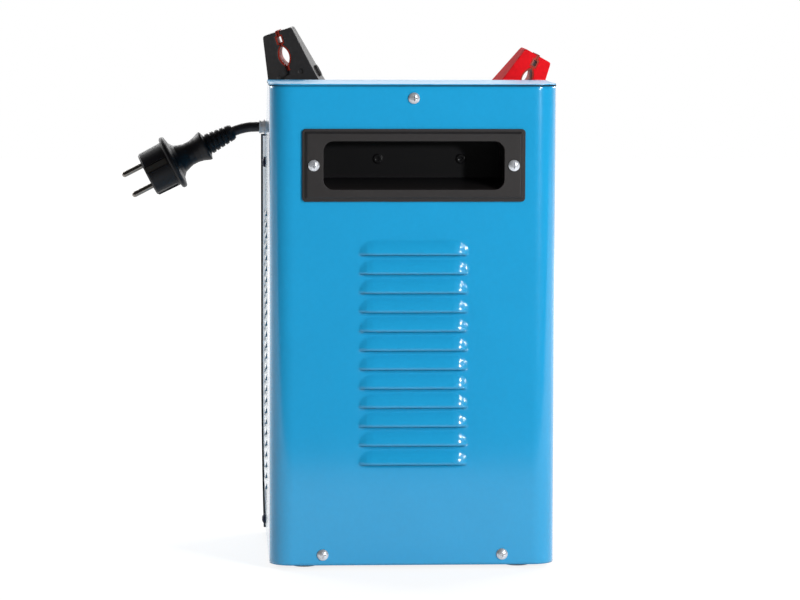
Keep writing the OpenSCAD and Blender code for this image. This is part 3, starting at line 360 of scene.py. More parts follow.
# Nickel-plated brass of pins and contacts: warm grey metal, faintly uneven
NICKEL = Finish("nickel_plated_brass", "#8E8983", 0.30, metallic=1.0, pattern=Weave.BRUSH, size_mm=0.3,
                depth_mm=0.004, mottle=0.06, round_mm=0.3)
# Thick PVC skin of the clamps' halves: dull, uneven, with soft edges
CLAMP_BLACK = Finish("dipped_pvc_black", "#2D2B2B", 0.50, pattern=Weave.PEEL, size_mm=3.0, depth_mm=0.05,
                     mottle=0.25, round_mm=1.4, gleam=0.26)
# The same skin in strong red
CLAMP_RED = Finish("dipped_pvc_red", "#DC121C", 0.60, pattern=Weave.PEEL, size_mm=3.0, depth_mm=0.03,
                   mottle=0.16, round_mm=1.4, gleam=0.04)
# Copper-plated steel jaws, dark red brown with tarnish
COPPER = Finish("copper_plated_jaw", "#8A2A1E", 0.50, metallic=0.25, pattern=Weave.BRUSH, size_mm=0.5,
                depth_mm=0.01, mottle=0.25, wear=0.18, round_mm=0.2, gleam=0.12)
# Plated spring wire and clamp pins: light grey metal, faintly uneven
WIRE = Finish("plated_spring_wire", "#B9BBBE", 0.30, metallic=1.0, pattern=Weave.BRUSH, size_mm=0.3,
              depth_mm=0.004, mottle=0.10)
# Printed dial card, matt white
DIAL_CARD = Finish("printed_dial_card", "#EFEDE6", 0.60, size_mm=0.5, depth_mm=0.002, mottle=0.02)
# Printing ink of the dial and paint of the needle: flat black, and red for the zone at its end
INK = Finish("dial_ink_black", "#17171A", 0.50, size_mm=0.5, depth_mm=0.001)
INK_RED = Finish("dial_ink_red", "#B81A1A", 0.50, size_mm=0.5, depth_mm=0.001)
# Clear acrylic window: only its reflections show
ACRYLIC = Finish("clear_acrylic", "#FBFCFC", 0.05, size_mm=6.0, depth_mm=0.001, mottle=0.0, wear=0.02,
                 clear=1.0)
# Amber polycarbonate of the lamps, with a faint glow of painted light so that they read as lenses
AMBER = Finish("amber_lens", "#E2601C", 0.18, pattern=Weave.PEEL, size_mm=1.0, depth_mm=0.02, coat=0.4,
               glow=0.08)
# Polished red moulding of the breaker's button
BUTTON_RED = Finish("moulded_button_red", "#B51B1E", 0.28, size_mm=0.8, depth_mm=0.004, round_mm=0.3)
# Varnished steel sheets of the transformer: dark grey in stacked lines. Sheets of 0.5 mm are too fine to show,
# so they are drawn 1 mm thick
LAMINATIONS = Finish("varnished_laminations", "#4C4E50", 0.45, metallic=0.5, pattern=Weave.LAYERS,
                     size_mm=1.0, depth_mm=0.15, mottle=0.15)
# Enamelled copper wire, red brown, wound in layers 1.2 mm apart
WINDING = Finish("enamelled_winding", "#8A4520", 0.32, metallic=0.5, pattern=Weave.LAYERS, size_mm=1.2,
                 depth_mm=0.3, mottle=0.15)
# Extruded aluminium heat sink: pale metal with fine upright lines
EXTRUDED = Finish("extruded_aluminium", "#C5C8CA", 0.34, metallic=1.0, pattern=Weave.BRUSH, size_mm=0.6,
                  depth_mm=0.01, mottle=0.06, axis=(1.0, 1.0, 0.06), round_mm=0.3)
# Ivory nylon of the terminal block, satin
IVORY = Finish("moulded_ivory_nylon", "#DDD5BE", 0.42, size_mm=0.9, depth_mm=0.006, round_mm=0.3)
# Nylon of the ties: black, with a finely roughened face
TIE_NYLON = Finish("tie_nylon_black", "#1A1A1C", 0.45, pattern=Weave.BRUSH, size_mm=0.8, depth_mm=0.03)
# Closed-cell foam, white and matt. Its glow is painted light, no property of foam: it brings the strip to the
# photograph's white
SEAL_FOAM = Finish("closed_cell_foam", "#F4F4F4", 0.80, size_mm=1.0, depth_mm=0.02, mottle=0.02, gleam=0.2,
                   glow=0.3)
# Dark matt strip in the seam under the cover: painted shadow of the gap between cover and wrap, so it reads as
# a thin dark line
SEAM_SHADOW = Finish("seam_painted_shadow", "#111416", 0.70, size_mm=0.9, depth_mm=0.01, mottle=0.08,
                     gleam=0.2)

DRESS: dict[str, Finish] = {
    "cabinet_wrap": BLUE_COAT, "top_cover": COVER_COAT, "base_pan": ZINC_SHEET, "rubber_feet": FOOT_RUBBER,
    "front_fascia": DARK_COAT, "cable_bin": BIN_ABS, "grip_cup": GRIP_ABS, "grip_screws": ZINC_SCREW,
    "case_screws": ZINC_SCREW, "fascia_screws": BLACK_SCREW, "cord_bushing": NYLON, "mains_gland": GLOSS_ABS,
    "red_gland": GLOSS_ABS, "black_gland": GLOSS_ABS, "cord_ties": TIE_NYLON, "plug_body": PLUG_PVC,
    "plug_pins": NICKEL, "plug_earth_contacts": NICKEL, "meter_case": GLOSS_ABS, "meter_dial": DIAL_CARD,
    "meter_needle": INK, "meter_window": ACRYLIC, "selector_switch": GRIP_ABS, "selector_knob": GLOSS_ABS,
    "power_switch_frame": GLOSS_ABS, "power_rocker": GLOSS_ABS, "mode_switch_frame": GLOSS_ABS,
    "mode_rocker": GLOSS_ABS, "breaker_body": GLOSS_ABS, "breaker_button": BUTTON_RED, "pilot_lamps": AMBER,
    "transformer_core": LAMINATIONS, "transformer_winding": WINDING, "transformer_bolts": ZINC_SCREW,
    "rectifier_plate": EXTRUDED, "rectifier_diodes": NICKEL, "terminal_block": IVORY,
    **{f"{c}_clamp_{n}": f for c, skin in (("black", CLAMP_BLACK), ("red", CLAMP_RED)) for n, f in (
        ("body", skin), ("lever", skin), ("body_jaw", COPPER), ("lever_jaw", COPPER), ("crimp", COPPER),
        ("pin", WIRE), ("spring", WIRE))},
}


def put_material(obj: bpy.types.Object, finish: Finish) -> None:
    """Give an object one finish in every slot.

    Args:
        obj: the object.
        finish: its finish.
    """
    mat = finish.build()
    if not obj.material_slots:
        obj.data.materials.append(mat)
    for slot in obj.material_slots:
        slot.material = mat


def ease(t: Points) -> Points:
    """Smooth step: 3 t squared minus 2 t cubed.

    Args:
        t: shares, held between 0 and 1.

    Returns:
        The eased shares.
    """
    t = np.clip(t, 0, 1)
    return t * t * (3 - 2 * t)


def smooth_route(points: Points, step: float = 0.003) -> Points:
    """Carry a Catmull-Rom curve through route points, with points about step apart.

    Between b and c, with a before and d after them, it is half of 2 b, plus c - a times t, plus
    2 a - 5 b + 4 c - d times t squared, plus 3 b - a - 3 c + d times t cubed.

    Args:
        points: route points, one row each.
        step: distance between the points that come back.

    Returns:
        Points along the curve, both ends kept.
    """
    p = np.vstack([2 * points[0] - points[1], points, 2 * points[-1] - points[-2]])
    rows = []
    for i in range(1, len(p) - 2):
        a, b, c, d = p[i - 1:i + 3]
        n = max(int(np.linalg.norm(c - b) / step), 2)
        t = (np.arange(n) / n)[:, None]
        rows.append(0.5 * (2 * b + (c - a) * t + (2 * a - 5 * b + 4 * c - d) * t ** 2
                           + (3 * b - a - 3 * c + d) * t ** 3))
    return np.vstack([*rows, points[-1:]])


@dataclass(frozen=True)
class Hank:
    """Stored cord: an oval of straights along X and half turns, in slots of radius and height.

    Attributes:
        middle_y: Y of the oval's middle.
        half: half the length of a straight.
        turn: 1 for turns as they are wound, -1 for turns mirrored in X.
        bend_points: points on a half turn.
        straight_points: points on a straight, its ends counted.
    """

    middle_y: float
    half: float
    turn: int
    bend_points: int = 17
    straight_points: int = 22

    def bend(self, side: int, r: float, z: float) -> Points:
        """Half a turn about the end of a straight: r cos a along X and r sin a along Y from its middle.

        Args:
            side: -1 for the left end, 1 for the right.
            r: radius of the turn.
            z: its height.

        Returns:
            Points of the half turn.
        """
        a = np.linspace(math.pi / 2, 3 * math.pi / 2, self.bend_points)[:, None]
        x = -self.half + r * np.cos(a) if side < 0 else self.half - r * np.cos(a)
        y = self.middle_y + (r * np.sin(a) if side < 0 else -r * np.sin(a))
        return np.hstack([x, y, np.full_like(x, z)])

    def straight(self, front: bool, a: tuple[float, float], b: tuple[float, float], span: tuple[float, float],
                 window: tuple[float, float] = (0.1, 0.9)) -> Points:
        """One straight from slot a to slot b, by a smooth step of its share inside the window.

        Args:
            front: True for the side towards +Y, which runs towards -X.
            a: radius and height of the slot at its start.
            b: radius and height of the slot at its end.
            span: X at its start and its end.
            window: part of the straight where the slot changes, from 0 to 1.

        Returns:
            Points along the straight, its ends left out.
        """
        t = np.linspace(0, 1, self.straight_points)[1:-1][:, None]
        k = ease((t - window[0]) / (window[1] - window[0]))
        x = span[0] + (span[1] - span[0]) * t
        r = a[0] + (b[0] - a[0]) * k
        z = a[1] + (b[1] - a[1]) * k
        return np.hstack([x, self.middle_y + (r if front else -r), z])


@dataclass
class Cord:
    """One cord from its gland, through its hank, to its plug or clamp.

    Attributes:
        name: the piece's name.
        finish: its finish.
        slot: name of its material slot, not used.
        diameter: its thickness in metres.
        tail: route from the gland to the hank, in millimetres.
        run: route from the hank to the far end, in millimetres.
        hank: the stored turns between the two.
        far_end: what it ends in.
        pieces: nodes at that end, not used.
        roundness: how finely its round section is cut.
        path: all its points in metres, once it is made.
    """

    name: str
    finish: Finish
    slot: str
    diameter: float
    tail: list[tuple[float, float, float]]
    run: list[tuple[float, float, float]]
    hank: Hank
    far_end: str
    pieces: list[str]
    roundness: int = 5
    path: Points = field(init=False)

    def wind(self) -> Points:
        """Wind the stored turns, anticlockwise seen from above before any mirroring.

        Four slots lie a diameter apart, two beside each other and two high. Each turn is a straight, a half
        turn, a straight and a half turn, and the cord goes over to the next slot along a straight.

        Returns:
            Points of the turns between the tail and the run.
        """
        h, d = self.hank, self.diameter
        x0 = abs(self.tail[-1][0]) / 1000
        outer, z1 = abs(self.tail[-1][1] / 1000 - h.middle_y), self.tail[-1][2] / 1000
        inner, z2 = outer - d, z1 + d
        s = h.half
        lead = self.far_end != "plug"
        slots = [(outer, z1), (outer, z2), (inner, z2), (inner, z1)] if lead else \
            [(outer, z1), (inner, z1), (inner, z2), (outer, z2)]
        # Part of a straight in which the slot changes
        early, late, middle = (0.02, 0.46), (0.54, 0.98), (0.2, 0.7)
        rows = [h.straight(True, slots[0], slots[0], (x0, -s)), h.bend(-1, *slots[0]),
                h.straight(False, slots[0], slots[1], (-s, s), late), h.bend(1, *slots[1]),
                h.straight(True, slots[1], slots[1], (s, -s)), h.bend(-1, *slots[1]),
                h.straight(False, slots[1], slots[2], (-s, s), early), h.bend(1, *slots[2]),
                h.straight(True, slots[2], slots[3], (s, -s), middle), h.bend(-1, *slots[3])]
        end = abs(self.run[0][0]) / 1000
        if lead:
            rows.append(h.straight(False, slots[3], slots[3], (-s, -end)))
        else:
            rows += [h.straight(False, slots[3], slots[3], (-s, s)), h.bend(1, *slots[3]),
                     h.straight(True, slots[3], slots[3], (s, end))[:1]]
        turns = np.vstack(rows)
        turns[:, 0] *= h.turn
        return turns

    def make(self) -> bpy.types.Object:
        """Build the cord as one open curve that rides the cabinet.

        Returns:
            The cord's object.
        """
        tail, run = np.array(self.tail) / 1000, np.array(self.run) / 1000
        self.path = np.vstack([smooth_route(tail), self.wind(), smooth_route(run)])
        curve = bpy.data.curves.new(self.name, "CURVE")
        curve.dimensions = "3D"
        curve.bevel_depth = self.diameter / 2
        curve.bevel_resolution = self.roundness
        curve.use_fill_caps = True
        spline = curve.splines.new("POLY")
        spline.points.add(len(self.path) - 1)
        spline.points.foreach_set("co", np.hstack([self.path, np.ones((len(self.path), 1))]).ravel())
        spline.use_smooth = True
        obj = put_object(self.name, curve)
        put_material(obj, self.finish)
        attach(obj, CABINET)
        LOG.info("built %s: %.2f m, %d points", self.name, self.length(), len(self.path))
        return obj

    def length(self) -> float:
        """Sum of the distances between the path's points.

        Returns:
            The length in metres, to the nearest 10 mm.
        """
        return round(float(np.linalg.norm(np.diff(self.path, axis=0), axis=1).sum()), 2)


def clamp_nodes(colour: str) -> list[str]:
    """Name one clamp's nodes.

    Args:
        colour: the clamp's colour, as its nodes' names begin.

    Returns:
        The names.
    """
    return [f"{colour}_clamp_{n}" for n in ("body", "lever", "body_jaw", "lever_jaw", "pin", "spring", "crimp")]


# Routes in millimetres, the same as in part.scad
MAINS = Cord("mains_cord", BLACK_SHEATH, "cord_black", 0.0084,
             [(96, 4, 268), (96, 20, 268), (96, 36, 268), (95, 50, 267.5), (91.3, 62, 266.8),
              (79, 74.3, 265.6), (62, 78.8, 265.3), (48, 78.8, 265.3)],
             [(45, 78.8, 273.7), (25, 78.8, 277), (5, 78.6, 285.8), (-15, 78.4, 297.9), (-35, 78.1, 311.4),
              (-55, 77.8, 324.5), (-75, 77.4, 334.9), (-90, 77, 340), (-104, 77, 342.5), (-121, 77, 342.5),
              (-128, 77, 342), (-135, 77, 340.4), (-141.5, 77, 337.8), (-148.6, 77, 334.1)],
             Hank(0.045, 0.05, 1), "plug", ["plug_body", "plug_pins", "plug_earth_contacts"])
RED = Cord("red_lead", RED_SHEATH, "cord_red", 0.008,
           [(96, 4, 236), (96, 18, 236), (96, 32, 235), (95, 47, 233), (91, 62, 231.3),
            (79.8, 73, 230.5), (63.5, 77.5, 230.3), (48, 77.5, 230.3)],
           [(-20, 20.5, 230.3), (0, 22.5, 231), (18, 29, 235), (33, 37, 243), (45, 42.5, 254),
            (53, 45, 266), (58.6, 46.4, 277.5), (63.1, 47.5, 286.5), (67.6, 48, 294.5), (71.7, 48.05, 302),
            (74.5, 48.05, 307)],
           Hank(0.045, 0.05, 1), "tool", clamp_nodes("red"))
BLACK = Cord("black_lead", BLACK_SHEATH, "cord_black", 0.008,
             [(-96, 4, 252), (-96, 18, 252), (-96, 32, 251.3), (-95, 47, 250), (-91, 62, 248.7),
              (-79.8, 73, 247.9), (-63.5, 77.5, 247.7), (-48, 77.5, 247.7)],
             [(20, 20.5, 247.7), (0, 22, 248.3), (-18, 28, 252), (-34, 36, 258.5), (-48, 42, 265.5),
              (-59, 44.6, 273.5), (-66.5, 46.2, 282.5), (-72, 47.2, 291.5), (-76.9, 47.6, 301),
              (-81.25, 47.67, 313.5), (-84.4, 47.67, 323)],
             Hank(0.045, 0.05, -1), "tool", clamp_nodes("black"))


@dataclass
class Camera:
    """The photograph's camera, fitted to points of the back wall, the bushing and the plug.

    Attributes:
        place: its place in metres.
        yaw: turn to the left about Z, in radians.
        pitch: tilt upwards, in radians.
        roll: turn about its own axis, in radians.
        focal_px: focal length in pixels of the picture.
        sensor_mm: width of the sensor.
        picture_px: width of the picture.
        clip: distances between which it sees.
    """

    place: tuple[float, float, float] = (-0.1643, -2.9001, 0.4729)
    yaw: float = -0.0550
    pitch: float = -0.0921
    roll: float = 0.0031
    focal_px: float = 3574.8
    sensor_mm: float = 36.0
    picture_px: int = 800
    clip: tuple[float, float] = (0.1, 50.0)

    def make(self) -> None:
        """Create the camera and make it the scene's.

        Its lens in millimetres is the focal length in pixels times the sensor's width over the picture's.
        """
        data = bpy.data.cameras.new("camera")
        data.sensor_width = self.sensor_mm
        data.lens = self.focal_px * self.sensor_mm / self.picture_px
        data.clip_start, data.clip_end = self.clip
        obj = put_object("camera", data)
        turn = (Matrix.Rotation(self.yaw, 4, "Z") @ Matrix.Rotation(math.pi / 2 + self.pitch, 4, "X")
                @ Matrix.Rotation(self.roll, 4, "Z"))
        obj.matrix_world = Matrix.Translation(self.place) @ turn
        bpy.context.scene.camera = obj


@dataclass
class Studio:
    """White table, a room that is white behind the object, two lights at the right and three behind.

    Attributes:
        floor_half: half the floor's side.
        paint: grey level of the floor as it lights the object.
        shade: grey level of the part of the seen floor that takes shadows.
        seen_level: own light of the seen floor, close to the object and far off.
        seen_reach: distances from the middle where the one level ends and the other begins.
        table_front: Y at which gloss sees the table end.
        edge_half: half the width of that edge, which is soft.
        before_table: level that gloss sees on this side of the table.
        soft: level of the light all round.
        room_level: levels that gloss sees in the room, in front and behind.
        room_reach: share of Y in a ray's direction where the one level ends and the other begins.
        aim: point that the lamps face.
    """

    floor_half: float = 6.0
    paint: float = 0.85
    shade: float = 0.32
    seen_level: tuple[float, float] = (0.80, 1.0)
    seen_reach: tuple[float, float] = (0.5, 1.9)
    table_front: float = -0.70
    edge_half: float = 0.05
    before_table: float = 0.06
    soft: float = 0.19
    room_level: tuple[float, float] = (0.04, 1.0)
    room_reach: tuple[float, float] = (0.0, 0.75)
    aim: tuple[float, float, float] = (0.0, 0.0, 0.2)

    @staticmethod
    def by_ray(tree: bpy.types.NodeTree, plain: bpy.types.NodeSocket, gloss: bpy.types.NodeSocket,
               seen: bpy.types.NodeSocket) -> bpy.types.NodeSocket:
        """Choose among three shaders by the kind of ray.

        Args:
            tree: node tree of the floor or the world.
            plain: shader for light that falls on the object.
            gloss: shader for reflections.
            seen: shader for the camera and for what is seen through glass.

        Returns:
            The shader.
        """
        rays = add(tree, "ShaderNodeLightPath").outputs
        unseen = add(tree, "ShaderNodeMixShader", {0: rays["Is Glossy Ray"], 1: plain, 2: gloss})
        eye = add(tree, "ShaderNodeMath", {0: rays["Is Camera Ray"], 1: rays["Is Transmission Ray"]},
                  operation="MAXIMUM")
        return add(tree, "ShaderNodeMixShader",
                   {0: eye.outputs[0], 1: unseen.outputs[0], 2: seen}).outputs[0]

    def floor(self) -> None:
        """Lay a white floor that keeps the object's shadow, with a table's front edge for gloss alone.

        The seen floor's own light goes by a smooth step from one level to the other over its distance from the
        middle, and what gloss sees goes by one over Y from before_table to the seen floor.
        """
        mesh = bpy.data.meshes.new("floor")
        h = self.floor_half
        mesh.from_pydata([(-h, -h, 0), (h, -h, 0), (h, h, 0), (-h, h, 0)], [], [(0, 1, 2, 3)])
        obj = put_object("floor", mesh)
        mat = bpy.data.materials.new("white_table")
        mat.use_nodes = True
        tree = mat.node_tree
        tree.nodes.clear()
        paint = add(tree, "ShaderNodeBsdfDiffuse", Color=(*[self.paint] * 3, 1))
        shade = add(tree, "ShaderNodeBsdfDiffuse", Color=(*[self.shade] * 3, 1))
        spot = add(tree, "ShaderNodeTexCoord").outputs["Object"]
        away = add(tree, "ShaderNodeVectorMath", {0: spot}, operation="LENGTH").outputs["Value"]
        level = add(tree, "ShaderNodeMapRange", {0: away}, interpolation_type="SMOOTHSTEP",
                    From_Min=self.seen_reach[0], From_Max=self.seen_reach[1],
                    To_Min=self.seen_level[0], To_Max=self.seen_level[1])
        white = add(tree, "ShaderNodeEmission", {"Strength": level.outputs[0]}, Color=(1, 1, 1, 1))
        dim = add(tree, "ShaderNodeEmission", Color=(1, 1, 1, 1), Strength=self.before_table)
        shown = add(tree, "ShaderNodeAddShader", {0: shade.outputs[0], 1: white.outputs[0]})
        along = add(tree, "ShaderNodeSeparateXYZ", {0: spot}).outputs["Y"]
        table = add(tree, "ShaderNodeMapRange", {0: along}, interpolation_type="SMOOTHSTEP",
                    From_Min=self.table_front - self.edge_half, From_Max=self.table_front + self.edge_half)
        gloss = add(tree, "ShaderNodeMixShader", {0: table.outputs[0], 1: dim.outputs[0], 2: shown.outputs[0]})
        surface = self.by_ray(tree, paint.outputs[0], gloss.outputs[0], shown.outputs[0])
        add(tree, "ShaderNodeOutputMaterial", {"Surface": surface})
        mesh.materials.append(mat)

    def world(self) -> None:
        """Soft light all round; white for the camera and glass; for gloss, white behind and dark in front.

        What gloss sees goes by a smooth step from one level to the other over Y of the ray's direction.
        """
        world = bpy.data.worlds.new("studio")
        bpy.context.scene.world = world
        world.use_nodes = True
        tree = world.node_tree
        tree.nodes.clear()
        way = add(tree, "ShaderNodeTexCoord").outputs["Generated"]
        behind = add(tree, "ShaderNodeSeparateXYZ", {0: way}).outputs["Y"]
        room = add(tree, "ShaderNodeMapRange", {0: behind}, interpolation_type="SMOOTHSTEP",
                   From_Min=self.room_reach[0], From_Max=self.room_reach[1],
                   To_Min=self.room_level[0], To_Max=self.room_level[1])
        soft = add(tree, "ShaderNodeBackground", Color=(1, 1, 1, 1), Strength=self.soft)
        gloss = add(tree, "ShaderNodeBackground", {"Strength": room.outputs[0]}, Color=(1, 1, 1, 1))
        white = add(tree, "ShaderNodeBackground", Color=(1, 1, 1, 1), Strength=1.0)
        surface = self.by_ray(tree, soft.outputs[0], gloss.outputs[0], white.outputs[0])
        add(tree, "ShaderNodeOutputWorld", {"Surface": surface})

    def lamp(self, name: str, place: tuple[float, float, float], size: tuple[float, float],
             level: float) -> None:
        """Hang one rectangular area light that faces the aim.

        Its power is level times pi squared times distance squared, so that a white face turned towards it
        renders at that level.

        Args:
            name: the light's name.
            place: its place in metres.
            size: width and height in metres.
            level: brightness that it gives a white face turned towards it, where 1 is white.
        """
        way = Vector(self.aim) - Vector(place)
        data = bpy.data.lights.new(name, "AREA")
        data.shape = "RECTANGLE"
        data.size, data.size_y = size
        data.energy = level * math.pi ** 2 * way.length_squared
        obj = put_object(name, data)
        obj.matrix_world = Matrix.Translation(place) @ way.to_track_quat("-Z", "Y").to_matrix().to_4x4()

    def make(self) -> None:
        """Build the floor, the world and the lamps."""
        self.floor()
        self.world()
        self.lamp("key_softbox", (1.61, -2.48, 0.68), (0.18, 0.18), 0.53)
        self.lamp("upper_softbox", (1.85, -2.20, 1.75), (0.22, 0.22), 0.30)
        self.lamp("back_softbox", (0.0, 2.9, 1.9), (2.4, 0.5), 0.32)
        self.lamp("left_rear_softbox", (-2.2, 2.2, 1.5), (1.2, 1.2), 0.45)
        self.lamp("right_rear_softbox", (2.2, 2.2, 1.5), (1.2, 1.2), 0.45)


@dataclass
class Dial:
    """Printed scale on the meter's card.

    Attributes:
        middle: the needle's axis.
        radius: radius of the arc's inner edge.
        sweep: angles in degrees of its ends at 0 and at 20, from -X upwards.
        line: width of the arc.
        marks: number of marks, one for each step of the scale from 0.
        every: steps from one long mark to the next.
        long_mark: length of a long mark.
        short_mark: length of the others.
        mark_half: half a mark's width in degrees.
        zone: sweep in degrees of the red zone.
        zone_top: outer edge of the red zone over the arc's inner edge.
        number_drop: how far the numbers' middles lie inside the arc.
        number_size: height of the lettering's line.
        lift: height of the print's middle over the card.
        ink: its thickness.
        face_deg: degrees of an arc that one face spans.
    """

    middle: tuple[float, float, float] = (0.0, 0.0, 0.158)
    radius: float = 0.034
    sweep: tuple[float, float] = (130.0, 50.0)
    line: float = 0.0006
    marks: int = 21
    every: int = 5
    long_mark: float = 0.0052
    short_mark: float = 0.003
    mark_half: float = 0.35
    zone: float = 16.0
    zone_top: float = 0.0026
    number_drop: float = 0.004
    number_size: float = 0.0046
    lift: float = 0.00015
    ink: float = 0.0002
    face_deg: float = 3.0

    def place(self) -> float:
        """Y of the print's middle: the card's face in the frame plus lift."""
        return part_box("meter_dial")[1][1] + self.lift

    def ring(self, name: str, finish: Finish, spans: list[tuple[float, float, float, float]]) -> None:
        """Flat ring pieces that face +Y, each from radius r0 to r1 and angle a0 to a1.

        A point at radius r and angle a lies r cos a towards -X and r sin a above the middle.

        Args:
            name: the piece's name.
            finish: its finish.
            spans: radii in metres and angles in degrees of each ring piece.
        """
        y = self.place()
        verts, faces = [], []
        for r0, r1, a0, a1 in spans:
            n = max(int(abs(a1 - a0) / self.face_deg), 1) + 1
            a = np.radians(np.linspace(a0, a1, n))
            base = sum(len(v) for v in verts)
            for r in (r0, r1):
                verts.append(np.stack([self.middle[0] - r * np.cos(a), np.full(n, y),
                                       self.middle[2] + r * np.sin(a)], 1))
            i = base + np.arange(n - 1)
            faces += np.stack([i, i + 1, i + n + 1, i + n], 1).tolist()
        self.lay(name, verts, faces, finish)

    def lay(self, name: str, verts: list[Points], faces: list[list[int]], finish: Finish) -> None:
        """Make flat print of points and faces, thicken it both ways to ink, and give it its finish.

        Args:
            name: the piece's name.
            verts: its points, in arrays of three columns.
            faces: its faces, by the points' numbers.
            finish: its finish.
        """
        mesh = bpy.data.meshes.new(name)
        mesh.from_pydata(np.vstack(verts).tolist(), [], faces)
        obj = put_object(name, mesh)
        solid = obj.modifiers.new("card_ink", "SOLIDIFY")
        solid.thickness, solid.offset = self.ink, 0
        put_material(obj, finish)
        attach(obj, CABINET)
        LOG.info("built %s", name)

    def numerals(self) -> None:
        """Number the long marks 0 to 20 inside the arc, as one flat mesh.

        A point (x, y) of the lettering goes to (-x, 0, y) from the number's place, because the card faces +Y.
        """
        verts, faces, base = [], [], 0
        r = self.radius - self.number_drop
        for value in range(0, self.marks, self.every):
            angle = math.radians(np.linspace(*self.sweep, self.marks)[value])
            text = bpy.data.curves.new("number", "FONT")
            text.body, text.size, text.align_x, text.align_y = str(value), self.number_size, "CENTER", "CENTER"
            draft = bpy.data.objects.new("number", text)
            flat = draft.to_mesh()
            co = np.empty(len(flat.vertices) * 3, np.float32)
            flat.vertices.foreach_get("co", co)
            co = co.reshape(-1, 3)
            verts.append(np.stack([self.middle[0] - r * math.cos(angle) - co[:, 0],
                                   np.full(len(co), self.place()),
                                   self.middle[2] + r * math.sin(angle) + co[:, 1]], 1))
            faces += [[base + v for v in poly.vertices] for poly in flat.polygons]
            base += len(co)
            draft.to_mesh_clear()
            bpy.data.objects.remove(draft)
            bpy.data.curves.remove(text)
        self.lay("dial_numerals", verts, faces, INK)

    def make(self) -> None:
        """Print the arc, its marks, the numbers and the red zone."""
        r, (a0, a1) = self.radius, self.sweep
        spans = [(r, r + self.line, a0, a1)]
        for i, a in enumerate(np.linspace(a0, a1, self.marks)):
            mark = self.short_mark if i % self.every else self.long_mark
            spans.append((r, r + mark, a - self.mark_half, a + self.mark_half))
        self.ring("dial_scale", INK, spans)
        self.ring("dial_red_zone", INK_RED, [(r + self.line, r + self.zone_top, a1 + self.zone, a1)])
        self.numerals()


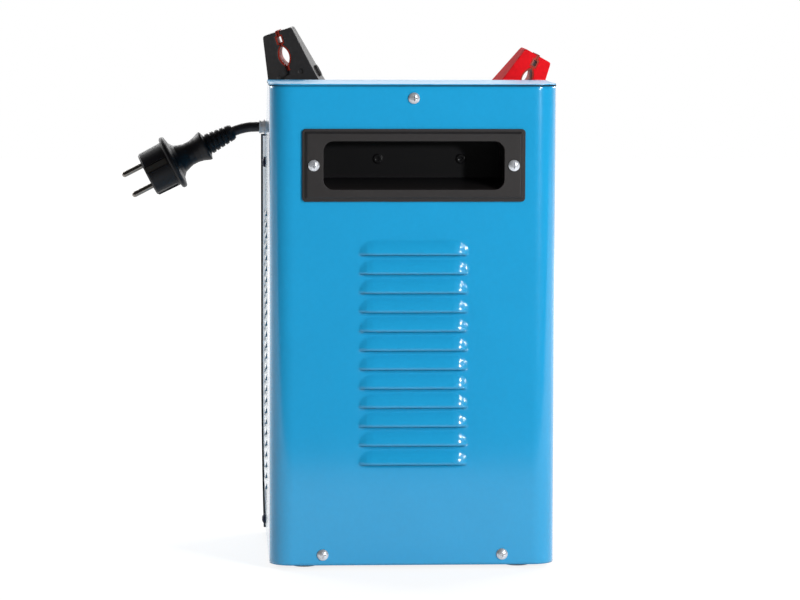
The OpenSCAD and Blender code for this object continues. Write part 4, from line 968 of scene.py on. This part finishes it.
@dataclass
class Seals:
    """Foam behind the fascia's bowed edge at both sides, and a dark strip of painted shadow in the seam under
    the cover.

    Attributes:
        half_w: half the cabinet's width.
        rear: Y of its back wall.
        corner: radius of its rear corners.
        plate_back: Y of the fascia plate's back.
        lap: how far the plate stands out from the side wall at its foot.
        bow: how far it stands out where it stands out most.
        bow_share: part of its height over which it goes from the one to the other.
        edge_shown: how much of the plate's edge shows beside the foam.
        foot: height of the foam's lower end over the plate's.
        head: how far its upper end lies below the plate's.
        foam_rings: rings of points along the foam.
        foam_gap: clear space between the foam and the wall.
        foam_least: its least width.
        foam_depth: Y of its two faces, measured back from the plate.
        seam_low: height of the seam strip's lower edge.
        seam_end: Y at which it ends on both sides.
        seam_high: its height at the left wall and at the right.
        seam_depth: its inner and outer face, measured outwards from the wall.
        corner_points: points on a quarter turn.
    """

    half_w: float = 0.113
    rear: float = -0.1075
    corner: float = 0.018
    plate_back: float = 0.0895
    lap: float = 0.0014
    bow: float = 0.0035
    bow_share: float = 0.45
    edge_shown: float = 0.0016
    foot: float = 0.002
    head: float = 0.0015
    foam_rings: int = 40
    foam_gap: float = 0.00005
    foam_least: float = 0.0001
    foam_depth: tuple[float, float] = (0.00028, 0.00002)
    seam_low: float = 0.38225
    seam_end: float = 0.0013
    seam_high: tuple[float, float] = (0.0005, 0.0011)
    seam_depth: tuple[float, float] = (-0.0006, 0.00012)
    corner_points: int = 13

    @staticmethod
    def loft(name: str, rings: Points, finish: Finish) -> bpy.types.Object:
        """Join rings of points into a closed bar, with its ends capped.

        Args:
            name: the piece's name.
            rings: array of rings, each of the same number of points, anticlockwise seen from the last ring.
            finish: the bar's finish.

        Returns:
            The piece.
        """
        n, m, _ = rings.shape
        i, j = np.meshgrid(np.arange(n - 1), np.arange(m), indexing="ij")
        k = (j + 1) % m
        quads = np.stack([i * m + j, i * m + k, (i + 1) * m + k, (i + 1) * m + j], -1).reshape(-1, 4).tolist()
        ends = [list(range(m))[::-1], [(n - 1) * m + v for v in range(m)]]
        mesh = bpy.data.meshes.new(name)
        mesh.from_pydata(rings.reshape(-1, 3).tolist(), [], quads + ends)
        obj = put_object(name, mesh)
        put_material(obj, finish)
        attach(obj, CABINET)
        LOG.info("built %s", name)
        return obj

    def foam(self, side: int) -> None:
        """Strip between the side wall and the fascia's shown edge.

        The fascia's edge stands out by lap plus (bow minus lap) times (1 minus (1 minus k) squared), where k
        goes from 0 at the foam's foot to 1 at bow_share of its height.

        Args:
            side: -1 for the left side, 1 for the right.
        """
        bottom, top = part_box("front_fascia")
        low, high = bottom[2] + self.foot, top[2] - self.head
        z = np.linspace(low, high, self.foam_rings)
        k = np.clip((z - low) / (self.bow_share * (high - low)), 0, 1)
        out = self.half_w + self.lap + (self.bow - self.lap) * (1 - (1 - k) ** 2) - self.edge_shown
        inner = np.full_like(z, self.half_w + self.foam_gap)
        out = np.maximum(out, inner + self.foam_least)
        y0, y1 = (self.plate_back - depth for depth in self.foam_depth)
        order = [(inner, y0), (out, y0), (out, y1), (inner, y1)]
        rings = np.stack([np.stack([side * x, np.full_like(z, y), z], 1) for x, y in order[::side]], 1)
        self.loft("foam_seal_right" if side > 0 else "foam_seal_left", rings, SEAL_FOAM)

    def seam(self) -> None:
        """Strip carried along the cabinet's plan: straight sides, a quarter circle at each rear corner.

        Its height goes from the one of seam_high at the left wall to the other at the right, by a smooth step
        across the width.
        """
        a = np.radians(np.linspace(180, 270, self.corner_points))
        mid = np.array([-(self.half_w - self.corner), self.rear + self.corner])
        turn = np.stack([np.cos(a), np.sin(a)], 1)
        left = np.vstack([[[-self.half_w, self.seam_end]], mid + self.corner * turn])
        aim = np.vstack([[[-1.0, 0.0]], turn])
        path = np.vstack([left, (left * [-1, 1])[::-1]])
        aim = np.vstack([aim, (aim * [-1, 1])[::-1]])
        (h0, h1), (d0, d1) = self.seam_high, self.seam_depth
        low = np.full((len(path), 1), self.seam_low)
        high = low + h0 + (h1 - h0) * ease((path[:, :1] + self.half_w) / (2 * self.half_w))
        sides = [(d0, low), (d0, high), (d1, high), (d1, low)]
        rings = np.stack([np.hstack([path + aim * o, z]) for o, z in sides], 1)
        # Painted shadow of the seam's gap, as a thin dark strip
        self.loft("cover_seam_shadow", rings, SEAM_SHADOW)

    def make(self) -> None:
        """Build both foam strips and the seam strip."""
        self.foam(-1)
        self.foam(1)
        self.seam()


def dress_nodes(frame: dict) -> None:
    """Give every CAD node that still shows its own finish.
    """
    for name, obj in frame["nodes"].items():
        if name in DRESS:
            put_material(obj, DRESS[name])
            LOG.info("dressed %s with %s", name, DRESS[name].name)


def main() -> None:
    """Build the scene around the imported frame."""
    logging.basicConfig(level=logging.INFO, format="%(message)s")
    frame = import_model()
    bpy.context.scene.view_settings.view_transform = "Standard"
    Camera().make()
    for cord, nodes in ((MAINS, ("mains_tail", "mains_hank", "mains_run")),
                        (RED, ("red_tail", "red_hank", "red_run")),
                        (BLACK, ("black_tail", "black_hank", "black_run"))):
        obj = cord.make()
        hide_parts(*nodes)
        cord.length()
    Studio().make()
    dress_nodes(frame)
    Dial().make()
    Seals().make()


if __name__ == "__main__":
    main()
